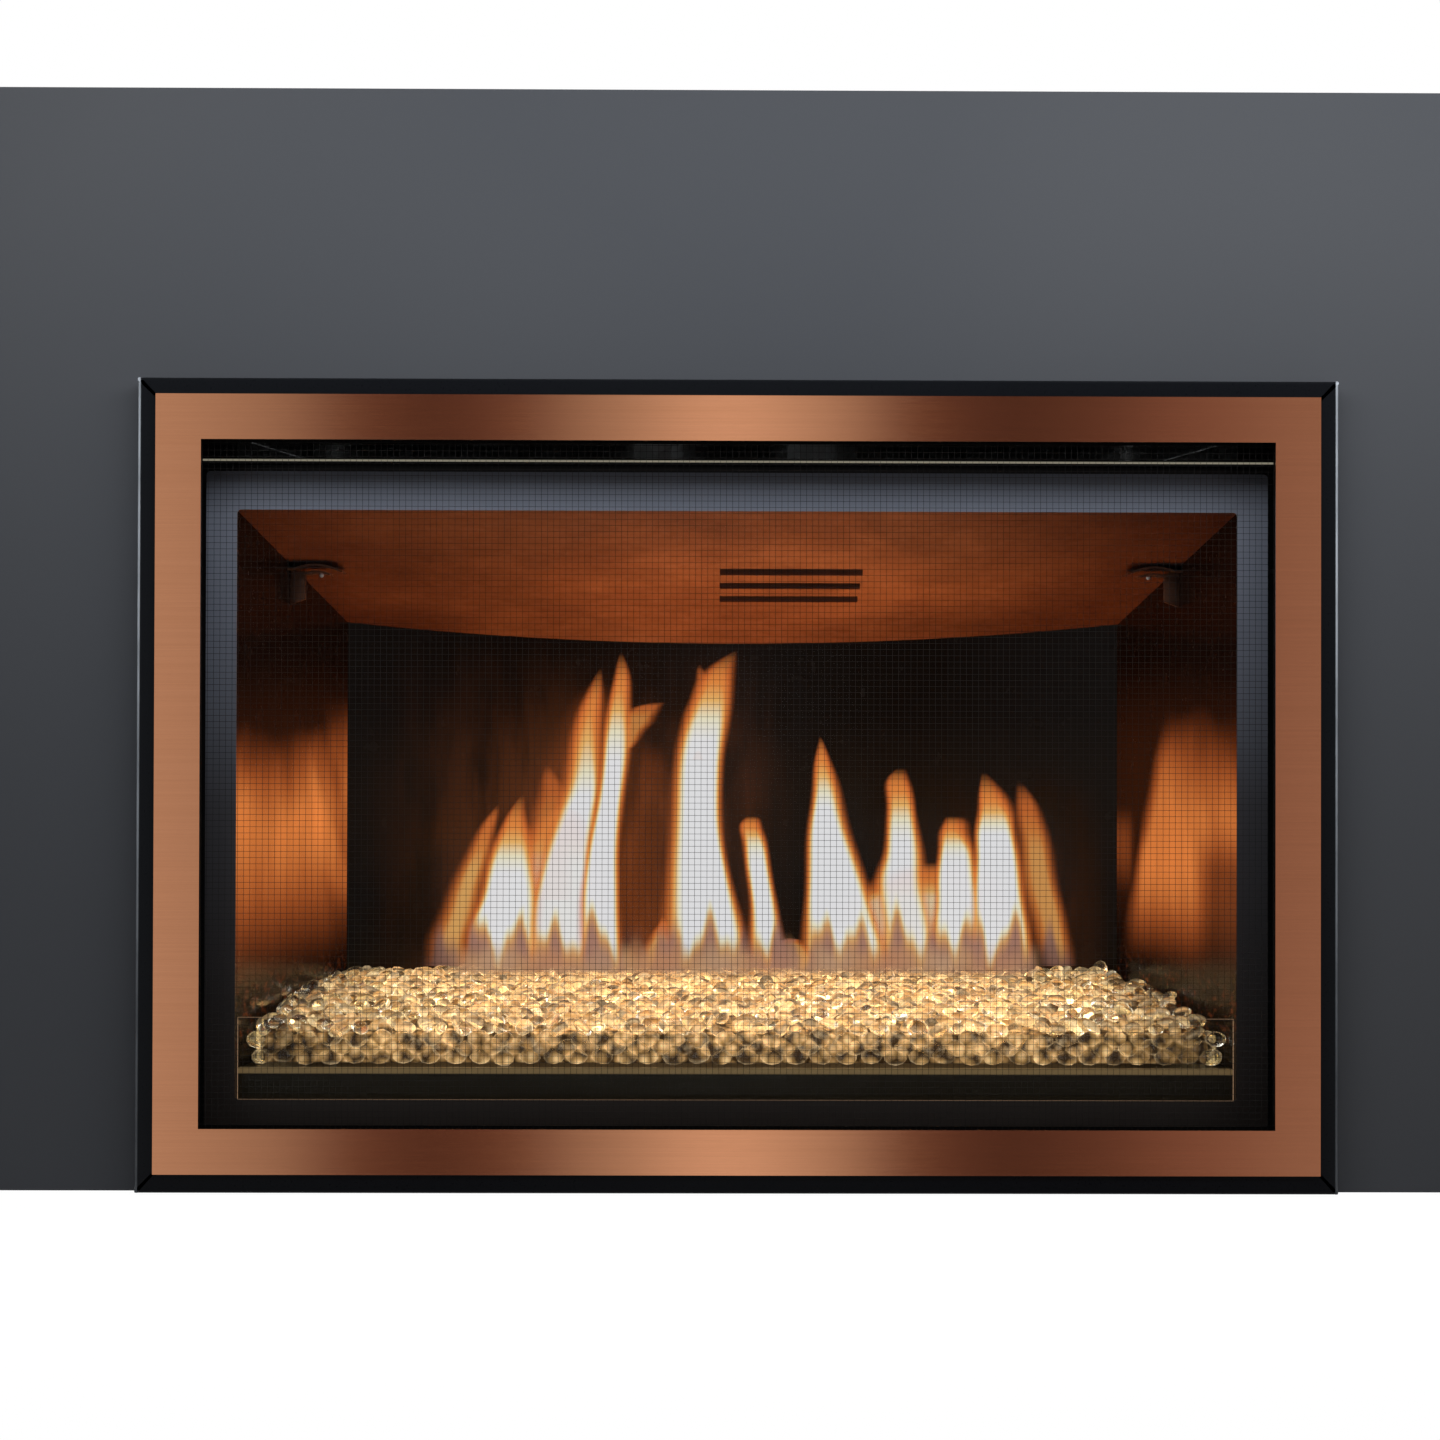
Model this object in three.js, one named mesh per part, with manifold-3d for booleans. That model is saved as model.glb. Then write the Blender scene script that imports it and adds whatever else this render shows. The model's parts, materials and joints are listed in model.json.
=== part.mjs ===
// Direct-vent gas fireplace insert with a lift-off barrier front, as a three.js scene graph.
// Millimetres, +Z up. X = 0 is the middle of the front, which faces -Y, and Z = 0 is the hearth.
// While modelling, Y = 0 is the face of the chimney breast that the surround closes against;
// the finished group is moved back so that its box is centred on Y.
import * as THREE from "three";
import { mergeVertices } from "three/addons/utils/BufferGeometryUtils.js";
import Module from "manifold-3d";

const wasm = await Module();
wasm.setup();

// ---------------------------------------------------------------- driving dimensions
const gap = 0.3; // clearance where one piece seats on another
const sheet = 2; // steel sheet of surround, casing and firebox

// Surround panel
const surroundWidth = 1219;
const surroundHeight = 762;
const surroundDepth = 26.5;
const surroundFlange = 15; // folded in against the wall
const cutoutRoom = 5; // casing side to the cut-out
const cutoutHeight = 548;
const bracketReach = 38; // surround bracket along the casing side
const bracketHead = 60; // end of the bracket below the top of the cut-out

// Lift-off front
const frameOverlap = 10; // moulding over the surround beside the cut-out
const frameHeight = 558;
const frameBottom = 2;
const frameFace = 42; // width of the black moulding
const frameDepth = 18.2;
const frameStandoff = 3; // rear edge of the moulding to the surround
const frameLip = 4;
const mitreGap = 0.2;
const copperSideMargin = 15;
const copperEndMargin = 13; // above and below
const copperBorder = 31;
const copperThickness = 2;
const screenOverlap = 6; // screen hem behind the moulding
const screenThickness = 1.6;
const screenHem = 7;
const screenWire = 1.6;
const screenColumns = 16;
const screenRows = 10;
const retainerWidth = 9;
const hookWidth = 12;
const hookSheet = 3;
const hookInset = 34; // outer edge of the hook from the edge of the moulding
const hookHeights = [120, 450]; // seats of the lower and upper hooks
const hookDrop = 14;
const hookTipY = -1;
const hangerLipY = -12;
const hangerDepth = 16; // arm of the hanger below its seat

// Casing
const casingSideRoom = 24; // glass frame to the casing side
const casingTaper = 58; // how far each side closes in towards the back
const casingDepth = 381;
const casingStraight = 110; // depth at which the sides start to taper
const casingHeight = 545;
const casingFront = 2;

// Face plate, glass frame and latches
const glassFrameFront = 5;
const glassFrameDepth = 9;
const glassFrameSheet = 1.6;
const glassFrameWidth = 748;
const glassFrameBottom = 31;
const glassFrameTop = 500;
const glassFrameFace = 21.5; // width of its sides
const viewBottom = 58;
const viewTop = 473;
const viewCorner = 3;
const glassThickness = 5;
const glassInset = 5; // glass edge inside the outer edge of its frame
const glassTopInset = 14; // leaves room for the hanging rail
const gasketThickness = 5;
const gasketInset = 5; // inner edge of the gasket outside the view
const plateWindowMargin = 3.5; // face plate opening outside the view
const railInset = 74; // end of the hanging rail inside the glass frame's edge
const railHeight = 10;
const railDepth = 5.1;
const latchInset = 29;
const latchZ = 18;
const latchThickness = 3;
const latchOverlap = 6; // latch finger over the glass frame
const latchTail = 12;
const latchWidth = 10;
const latchPin = 2.8;
const postRadius = 6;
const outletBottom = 511;
const outletHeight = 26;
const outletInset = 19;
const deflectorZ = 505.6;
const deflectorFront = -10;
const lowerSlotBottom = 6;
const lowerSlotTop = 30;
const lowerSlotInset = 54;
const slotBridge = 25; // steel between the lower slot and the control plate

// Firebox
const boxSideRoom = 2.5; // face of the side reflector at the front, outside the view
const boxTaper = 41; // how far each side has closed in at the rear corner
const boxFrontY = 20;
const boxBackRoom = 39; // deepest point of the bow to the back of the casing
const boxBow = 57; // how far the back bows behind its corners
const linerThickness = 2;
const linerSpace = 1; // reflector panels to the firebox wall
const ceilingFrontZ = 474;
const ceilingRearZ = 407; // at the rear corners
const ceilingThickness = 2;
const shellBottom = 50;
const shellRearBottom = 92;
const shellStepFront = 80;
const stepEnd = 35; // end of the floor's rise in front of the rear corners
const shellTop = 492;
const backPanelTop = 440;
const louvreWidth = 109;
const louvreX = 43;
const louvreY = 150;
const louvres = 3;
const louvrePitch = 33;
const louvreSlot = 6;
const louvreDrop = 3;
const louvreLip = 2;
const headGap = 0.4; // reflector panels to the sloping ceiling
const clipY = 140;
const clipWidth = 22;
const clipFlange = 40;
const clipTab = 30;
const clipThickness = 1.5;

// Burner
const trayFront = 25;
const trayLedge = 76;
const trayFlatEnd = 60;
const trayEnd = 23; // end of the tray's slope in front of the rear corners
const trayRearZ = 110;
const trayFoot = 54;
const portSideRoom = 44; // port plate to the side reflector at the rear
const portFront = 84;
const portEnd = 26; // port plate in front of the end of the slope
const panRim = 10;
const panDepth = 12;
const portColumns = 12;
const portRows = 2;
const portSize = 5;
const guardFront = 21.5;
const guardThickness = 3;
const guardBottom = 56;
const guardTop = 114;
const mediaFront = 31;
const mediaEnd = 2; // bed in front of the rear corners
const mediaFrontHeight = 104;
const mediaRise = 22;
const mediaRunOut = 70; // depth over which the bed rises
const mediaSideClearance = 3;
const venturiX = 120;
const venturiY = 110;
const venturiZ = 30;
const venturiRadius = 12;
const venturiWall = 2;
const venturiBend = 24;
const bellNeck = 4;
const mouthRadius = 16;
const mouthLength = 24;
const mouthX = 0;
const windowLength = 9;
const windowHeight = 12;
const shutterLength = 12;
const shutterClearance = 0.5;
const orificeX = -40;
const spudRadius = 6;
const spudLength = 14;
const pilotX = 20;
const pilotBehind = 11; // pilot bracket behind the rear corners
const pilotHeight = 24;
const pilotHalfWidth = 14;
const pilotFoot = 12;
const hoodRadius = 4.5;
const hoodBore = 2;
const hoodStandoff = 4;
const hoodLift = 2; // hood and electrode above the tray
const electrodeX = 29;
const electrodeRadius = 2.5;
const electrodeTip = 0.9;
const electrodeCeramic = 14;
const electrodeHeight = 26;

// Gas train
const gasY = 60;
const gasZ = 27;
const pipeRadius = 8.5;
const pipeBore = 6;
const pipeOutside = 14; // stub outside the casing
const cockInset = 57; // shut-off inside the casing side
const cockLength = 59;
const cockRadius = 11;
const cockHexagon = 14; // length of each hexagonal end
const cockChamfer = 2;
const leverInset = 29; // lever's axle along the shut-off
const leverLength = 34;
const leverWidth = 12;
const leverThickness = 3;
const leverZ = 41;
const leverNeck = 3; // wall and clearance of the neck round the lever's axle
const connectorRadius = 7;
const connectorWall = 2;
const connectorLength = 82;
const valveWidth = 90;
const valveFront = 30;
const valveDepth = 60;
const valveBottom = 6;
const valveTop = 40;
const valveFlange = 10; // foot beside the body
const regulatorRadius = 16;
const regulatorHeight = 7;
const regulatorInset = 22;
const knobInsets = [22, 68]; // along the valve
const bossLength = 7;
const stemBore = 8;
const knobZ = 18;
const knobRadius = 11;
const knobFront = -6;
const knobDepth = 15;
const knobSkirt = 3;
const pointerWidth = 3;
const pointerHeight = 2;
const stemRadius = 3.5;
const supplyRadius = 5;
const supplyWall = 1.5;
const supplyY = 72;

// Controls
const controlInset = 39;
const controlWidth = 190;
const controlBottom = 3.5;
const controlTop = 30.4;
const controlSlotInset = 10;
const switchInset = 41;
const switchZ = 16;
const switchWidth = 20;
const switchHeight = 14;
const switchDepth = 22;
const switchRoom = 0.5; // housing in its hole
const switchWall = 2;
const switchWell = 8;
const rockerRoom = 2.6; // rocker inside the switch hole
const rockerProud = 6;
const rockerHeel = 5.5;
const rockerNotch = 1.5;
const fanControlInset = 105;
const fanControlZ = 17;
const fanControlSize = 24;
const fanControlDepth = 28;
const fanKnobRadius = 10;
const fanShaft = 3;
const fanShaftDepth = 12;
const markWidth = 2;

// Blower
const wheelBackRoom = 85; // wheel's axis in front of the back of the casing
const wheelZ = 47;
const wheelRadius = 30;
const wheelHub = 23; // inner radius of the blade ring
const wheelHalfLength = 150;
const wheelBlades = 18;
const bladeThickness = 1.2;
const discThickness = 2;
const shaftRadius = 5;
const shaftClearance = 0.4;
const scrollSheet = 1.2;
const scrollClearance = 4;
const scrollGrowth = 9;
const blowerEndSpace = 5.7; // wheel to end plate
const endAhead = 40; // end plate in front of the wheel's axis
const endBehind = 49;
const motorRadius = 28;
const motorShoulder = 4;
const motorLength = 46;

// Flue collars
const collarRadius = 38;
const collarWall = 1.5;
const collarFlange = 46;
const collarSpacing = 120;
const collarAhead = 55; // collars in front of the firebox's rear corners
const collarTop = 590;
const ventPlateWidth = 260;
const ventPlateDepth = 130;

// ---------------------------------------------------------------- places worked out from them
const casingWidth = glassFrameWidth + 2 * casingSideRoom;
const casingBackWidth = casingWidth - 2 * casingTaper;
const cutoutWidth = casingWidth + 2 * cutoutRoom;
const frameWidth = cutoutWidth + 2 * frameOverlap;
const viewWidth = glassFrameWidth - 2 * glassFrameFace;

const surroundFace = -surroundDepth;
const frameRear = surroundFace - frameStandoff;
const frameFront = frameRear - frameDepth;
const frameCentreZ = frameBottom + frameHeight / 2;
const copperRear = frameFront - gap;
const copperFront = copperRear - copperThickness;
const copperHalfWidth = frameWidth / 2 - copperSideMargin;
const copperHalfHeight = frameHeight / 2 - copperEndMargin;
const screenFront = frameFront + sheet + frameLip + gap;
const screenHalfWidth = frameWidth / 2 - frameFace + screenOverlap;
const screenHalfHeight = frameHeight / 2 - frameFace + screenOverlap;
const retainerFront = screenFront + screenThickness + gap;
const hookOuter = frameWidth / 2 - hookInset + hookWidth;
const hookInner = hookOuter - hookWidth;

const glassFront = glassFrameFront + glassFrameSheet + gap;
const gasketFront = glassFront + glassThickness + gap;
const plateFront = gasketFront + gasketThickness + gap;
const plateRear = plateFront + sheet;
const plateHalfWidth = casingWidth / 2 - sheet - gap;
const plateBottom = sheet + gap;
const plateTop = casingHeight - sheet - gap;
const casingBack = casingDepth - sheet;
const railHalfWidth = glassFrameWidth / 2 - railInset;
const latchX = glassFrameWidth / 2 - latchInset;
const outletHalfWidth = glassFrameWidth / 2 - outletInset;
const controlRight = glassFrameWidth / 2 - controlInset;
const controlLeft = controlRight - controlWidth;
const switchX = controlLeft + switchInset;
const fanControlX = controlLeft + fanControlInset;
const lowerSlotLeft = lowerSlotInset - glassFrameWidth / 2;
const lowerSlotRight = controlLeft - slotBridge;

const boxHalfFront = viewWidth / 2 + boxSideRoom;
const boxHalfRear = boxHalfFront - boxTaper;
const boxCornerY = casingDepth - boxBackRoom - boxBow;
const shellStepRear = boxCornerY - stepEnd;
const trayRearY = boxCornerY - trayEnd;
const portRear = trayRearY - portEnd;
const portHalfWidth = boxHalfRear - portSideRoom;
const mediaRear = boxCornerY - mediaEnd;
const pilotY = boxCornerY + pilotBehind;
const wheelY = casingDepth - wheelBackRoom;
const collarY = boxCornerY - collarAhead;
const cockLeft = cockInset - casingWidth / 2;
const cockRight = cockLeft + cockLength;
const leverX = cockLeft + leverInset;
const valveLeft = cockRight + connectorLength;
const valveRight = valveLeft + valveWidth;
const valveBack = valveFront + valveDepth;
const knobXs = knobInsets.map((inset) => valveLeft + inset);
const sideSlope = (boxHalfFront - boxHalfRear) / (boxCornerY - boxFrontY);
const backRadius = (boxHalfRear ** 2 + boxBow ** 2) / (2 * boxBow);
const backCentreY = boxCornerY + boxBow - backRadius;
const ceilingSlope = (ceilingFrontZ - ceilingRearZ) / (boxCornerY - boxFrontY);
const ceilingAt = (y) => ceilingFrontZ - ceilingSlope * (y - boxFrontY);
const shellOffset = linerThickness + linerSpace;
const shellFront = plateRear + gap;
const traySlope = (trayRearZ - trayLedge) / (trayRearY - trayFlatEnd);
const trayAt = (y) => trayLedge + traySlope * (Math.min(Math.max(y, trayFlatEnd), trayRearY) - trayFlatEnd);
const shellRise = (shellRearBottom - shellBottom) / (shellStepRear - shellStepFront);
const collarXs = { exhaust: collarSpacing / 2, intake: -collarSpacing / 2 };
const modelMiddleY = (copperFront + casingDepth) / 2;

// ---------------------------------------------------------------- materials
const finish = (color, roughness, metalness) =>
  new THREE.MeshStandardMaterial({ color, roughness, metalness });
const materials = {
  surround: finish(0x3c3d40, 0.55, 0.2),
  blackPaint: finish(0x121417, 0.4, 0.2),
  copper: finish(0xb4754f, 0.35, 1),
  screen: finish(0x1a1a1c, 0.5, 0.6),
  galvanised: finish(0x8d9092, 0.45, 0.9),
  steel: finish(0x9a9a98, 0.35, 0.9),
  enamel: finish(0x0c0b0a, 0.08, 0.3),
  glass: finish(0xdfe8e4, 0.05, 0),
  beads: finish(0xd9c48a, 0.15, 0),
  gasket: finish(0xd8d4c8, 0.95, 0),
  brass: finish(0xb08d4c, 0.35, 1),
  aluminium: finish(0xa9abad, 0.4, 1),
  plastic: finish(0x1b1b1c, 0.5, 0),
  ceramic: finish(0xe9e4d8, 0.6, 0),
};

// ---------------------------------------------------------------- tools
const solidOf = (geometry) => {
  const plain = geometry.clone();
  plain.deleteAttribute("normal");
  plain.deleteAttribute("uv");
  const merged = mergeVertices(plain, 1e-4);
  return new wasm.Manifold(
    new wasm.Mesh({
      numProp: 3,
      vertProperties: merged.attributes.position.array,
      triVerts: new Uint32Array(merged.index.array),
    }),
  );
};

const geometryOf = (solid) => {
  const mesh = solid.getMesh();
  const geometry = new THREE.BufferGeometry();
  geometry.setAttribute("position", new THREE.BufferAttribute(mesh.vertProperties, 3));
  geometry.setIndex(new THREE.BufferAttribute(mesh.triVerts, 1));
  return geometry;
};

const join = (first, ...others) =>
  geometryOf(others.reduce((sum, other) => sum.add(solidOf(other)), solidOf(first)));
const cut = (first, ...others) =>
  geometryOf(others.reduce((rest, other) => rest.subtract(solidOf(other)), solidOf(first)));
const common = (first, ...others) =>
  geometryOf(others.reduce((kept, other) => kept.intersect(solidOf(other)), solidOf(first)));

// Box between two corners.
const block = (x0, x1, y0, y1, z0, z1) =>
  new THREE.BoxGeometry(x1 - x0, y1 - y0, z1 - z0).translate((x0 + x1) / 2, (y0 + y1) / 2, (z0 + z1) / 2);

const polygon = (points) => new THREE.Shape(points.map(([a, b]) => new THREE.Vector2(a, b)));

const rectangle = (a0, a1, b0, b1, corner = 0) => {
  if (!corner) return polygon([[a0, b0], [a1, b0], [a1, b1], [a0, b1]]);
  const shape = new THREE.Shape();
  shape.absarc(a1 - corner, b0 + corner, corner, -Math.PI / 2, 0);
  shape.absarc(a1 - corner, b1 - corner, corner, 0, Math.PI / 2);
  shape.absarc(a0 + corner, b1 - corner, corner, Math.PI / 2, Math.PI);
  shape.absarc(a0 + corner, b0 + corner, corner, Math.PI, Math.PI * 1.5);
  return shape;
};

const circle = (a, b, radius) => {
  const shape = new THREE.Shape();
  shape.absarc(a, b, radius, 0, Math.PI * 2);
  return shape;
};

const extruded = (shape, holes, depth, curveSegments) => {
  shape.holes.push(...holes);
  return new THREE.ExtrudeGeometry(shape, { depth, bevelEnabled: false, curveSegments });
};

// Upright plate: the shape is drawn in X and Z and fills from frontY to frontY + thickness.
const uprightPlate = (shape, frontY, thickness, holes = [], segments = 3) =>
  extruded(shape, holes, thickness, segments).rotateX(Math.PI / 2).translate(0, frontY + thickness, 0);

// Level plate: the shape is drawn in X and Y and fills upwards from bottomZ.
const levelPlate = (shape, bottomZ, height, holes = [], segments = 8) =>
  extruded(shape, holes, height, segments).translate(0, 0, bottomZ);

// Section drawn in Y and Z, carried from leftX to rightX.
const acrossTurn = new THREE.Matrix4().makeBasis(
  new THREE.Vector3(0, 1, 0),
  new THREE.Vector3(0, 0, 1),
  new THREE.Vector3(1, 0, 0),
);
const across = (shape, leftX, rightX, holes = [], segments = 8) =>
  extruded(shape, holes, rightX - leftX, segments).applyMatrix4(acrossTurn).translate(leftX, 0, 0);

// Outline of a bent sheet whose middle line runs through the points.
const bentSheet = (points, thickness) => {
  const line = points.map(([a, b]) => new THREE.Vector2(a, b));
  const side = (sign) =>
    line.map((point, i) => {
      const before = line[i - 1] && point.clone().sub(line[i - 1]).normalize();
      const after = line[i + 1] && line[i + 1].clone().sub(point).normalize();
      const along = (before ?? after).clone().add(after ?? before).normalize();
      const stretch = 1 / along.dot(after ?? before);
      const reach = (sign * stretch * thickness) / 2;
      return new THREE.Vector2(point.x - along.y * reach, point.y + along.x * reach);
    });
  return new THREE.Shape([...side(1), ...side(-1).reverse()]);
};

// Turned piece: profile of [radius, height] points about the Z axis.
const turned = (profile, segments = 24) =>
  new THREE.LatheGeometry(profile.map(([r, z]) => new THREE.Vector2(r, z)), segments).rotateX(Math.PI / 2);

// The same laid along +Y or +X, with the heights measured that way.
const turnedAlongY = (profile, x, z, segments) =>
  turned(profile, segments).rotateX(-Math.PI / 2).translate(x, 0, z);
const turnedAlongX = (profile, y, z, segments) =>
  turned(profile, segments).rotateY(Math.PI / 2).translate(0, y, z);

// Closed ring profile for turned().
const ring = (inner, outer, low, high) => [
  [inner, low], [outer, low], [outer, high], [inner, high], [inner, low],
];
const rod = (radius, low, high) => [[0, low], [radius, low], [radius, high], [0, high]];

// Tube along a path.
const tube = (path, outer, inner, steps, segments = 10) => {
  const shape = circle(0, 0, outer);
  if (inner) shape.holes.push(circle(0, 0, inner));
  return new THREE.ExtrudeGeometry(shape, { extrudePath: path, steps, curveSegments: segments / 2 });
};

const bodyGroup = new THREE.Group();
const add = (name, geometry, material) => {
  const mesh = new THREE.Mesh(geometry, material.clone());
  mesh.name = name;
  bodyGroup.add(mesh);
  return mesh;
};
const bothSides = [["left", -1], ["right", 1]];

// ---------------------------------------------------------------- lift-off front
// One side of the mitred moulding, drawn at the bottom of the frame with its ends cut at 45 degrees.
const mouldingSide = (length, halfAcross) => {
  const inner = frameFace;
  const lipRear = frameFront + sheet + frameLip;
  const section = polygon([
    [0, frameRear], [0, frameFront], [inner, frameFront], [inner, lipRear],
    [inner - sheet, lipRear], [inner - sheet, frameFront + sheet],
    [sheet, frameFront + sheet], [sheet, frameRear],
  ]);
  const geometry = extruded(section, [], length, 1);
  const place = geometry.attributes.position;
  for (let i = 0; i < place.count; i++) {
    const inward = place.getX(i);
    const atEnd = place.getZ(i) > length / 2;
    const along = atEnd ? length - inward - mitreGap : inward + mitreGap;
    place.setXYZ(i, length / 2 - along, place.getY(i), inward - halfAcross);
  }
  return geometry;
};

const moulding = (length, halfAcross, turn) =>
  mouldingSide(length, halfAcross).rotateY(turn).translate(0, 0, frameCentreZ);

// Hook that is welded inside the moulding and hangs over a lip of the face plate.
const hookGeometry = (seatZ, sign) => {
  const arm = seatZ + gap;
  const root = frameFront + sheet / 2;
  const section = polygon([
    [root, arm], [hookTipY - hookSheet, arm], [hookTipY - hookSheet, arm - hookDrop],
    [hookTipY, arm - hookDrop], [hookTipY, arm + hookSheet], [root, arm + hookSheet],
  ]);
  const ends = [sign * hookInner, sign * hookOuter].sort((a, b) => a - b);
  return across(section, ends[0], ends[1]);
};

const makeFront = () => {
  add("frame_bottom_rail", moulding(frameWidth, frameHeight / 2, 0), materials.blackPaint);
  add("frame_top_rail", moulding(frameWidth, frameHeight / 2, Math.PI), materials.blackPaint);
  for (const [side, sign] of bothSides) {
    const stile = moulding(frameHeight, frameWidth / 2, (-sign * Math.PI) / 2);
    const hooks = hookHeights.map((seatZ) => hookGeometry(seatZ, sign));
    add("frame_" + side + "_stile", join(stile, ...hooks), materials.blackPaint);
  }
  const copperShape = rectangle(
    -copperHalfWidth, copperHalfWidth,
    frameCentreZ - copperHalfHeight, frameCentreZ + copperHalfHeight,
  );
  const copperWindow = rectangle(
    copperBorder - copperHalfWidth, copperHalfWidth - copperBorder,
    frameCentreZ - copperHalfHeight + copperBorder, frameCentreZ + copperHalfHeight - copperBorder,
  );
  const copper = uprightPlate(copperShape, copperFront, copperThickness, [copperWindow]);
  add("copper_face_plate", copper, materials.copper);
  makeScreen();
};

// Flat barrier net: a hem with crossing wires, and the retainer that clamps its edge.
const makeScreen = () => {
  const outline = (inset) => [
    inset - screenHalfWidth, screenHalfWidth - inset,
    frameCentreZ - screenHalfHeight + inset, frameCentreZ + screenHalfHeight - inset,
  ];
  const [left, right, low, high] = outline(screenHem);
  const columnPitch = (right - left + screenWire) / screenColumns;
  const rowPitch = (high - low + screenWire) / screenRows;
  const rear = screenFront + screenThickness;
  const wires = [];
  for (let column = 1; column < screenColumns; column++) {
    const x = left + column * columnPitch;
    wires.push(block(x - screenWire, x, screenFront, rear, low - 1, high + 1));
  }
  for (let row = 1; row < screenRows; row++) {
    const z = low + row * rowPitch;
    wires.push(block(left - 1, right + 1, screenFront, rear, z - screenWire, z));
  }
  const hem = uprightPlate(
    rectangle(...outline(0)), screenFront, screenThickness, [rectangle(left, right, low, high)],
  );
  const net = join(hem, ...wires);
  add("barrier_screen", net, materials.screen);
  const clamp = uprightPlate(
    rectangle(...outline(0)), retainerFront, screenThickness, [rectangle(...outline(retainerWidth))],
  );
  add("screen_retainer", clamp, materials.blackPaint);
};

// ---------------------------------------------------------------- surround and casing
const makeSurround = () => {
  const half = surroundWidth / 2;
  const cut = cutoutWidth / 2;
  const arch = (outer, top, inner, innerTop) => polygon([
    [-outer, 0], [-inner, 0], [-inner, innerTop], [inner, innerTop],
    [inner, 0], [outer, 0], [outer, top], [-outer, top],
  ]);
  const face = uprightPlate(arch(half, surroundHeight, cut, cutoutHeight), surroundFace, sheet);
  const edge = uprightPlate(
    arch(half, surroundHeight, half - sheet, surroundHeight - sheet), surroundFace, surroundDepth,
  );
  const flange = uprightPlate(
    arch(half, surroundHeight, half - surroundFlange, surroundHeight - surroundFlange), -sheet, sheet,
  );
  const reveal = uprightPlate(
    arch(cut + sheet, cutoutHeight + sheet, cut, cutoutHeight), surroundFace, surroundDepth - sheet,
  );
  add("surround_panel", join(face, edge, flange, reveal), materials.surround);
  for (const [side, sign] of bothSides) {
    const onCasing = casingWidth / 2 + gap + sheet / 2;
    const onReveal = cut + sheet + gap + sheet / 2;
    const shape = bentSheet(
      [
        [sign * onCasing, bracketReach], [sign * onCasing, casingFront + sheet],
        [sign * onReveal, casingFront + sheet], [sign * onReveal, surroundFace + sheet + gap],
      ],
      sheet,
    );
    const bracket = levelPlate(shape, plateBottom, cutoutHeight - bracketHead);
    add("surround_bracket_" + side, bracket, materials.galvanised);
  }
};

const casingOutline = () => {
  const front = casingWidth / 2;
  const back = casingBackWidth / 2;
  return polygon([
    [-front, casingFront], [front, casingFront], [front, casingStraight],
    [back, casingDepth], [-back, casingDepth], [-front, casingStraight],
  ]);
};

const makeCasing = () => {
  add("base_pan", levelPlate(casingOutline(), 0, sheet), materials.galvanised);
  const ventHoles = Object.values(collarXs).map((x) => circle(x, collarY, collarRadius + gap));
  const lid = levelPlate(casingOutline(), casingHeight - sheet, sheet, ventHoles, 16);
  add("casing_top", lid, materials.galvanised);
  const wallHeight = plateTop - plateBottom;
  for (const [side, sign] of bothSides) {
    const front = sign * (casingWidth / 2 - sheet / 2);
    const back = sign * (casingBackWidth / 2 - sheet / 2);
    const path = [[front, casingFront], [front, casingStraight], [back, casingBack - gap]];
    let wall = levelPlate(bentSheet(path, sheet), plateBottom, wallHeight);
    if (sign < 0) {
      const drill = rod(pipeRadius + gap, front - 2 * sheet, front + 2 * sheet);
      const inletHole = turnedAlongX(drill, gasY, gasZ);
      wall = cut(wall, inletHole);
    }
    add("casing_" + side + "_side", wall, materials.galvanised);
  }
  const backHalf = casingBackWidth / 2 - sheet - gap;
  const back = block(-backHalf, backHalf, casingBack, casingDepth, plateBottom, plateTop);
  add("casing_back", back, materials.galvanised);
};

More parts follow.
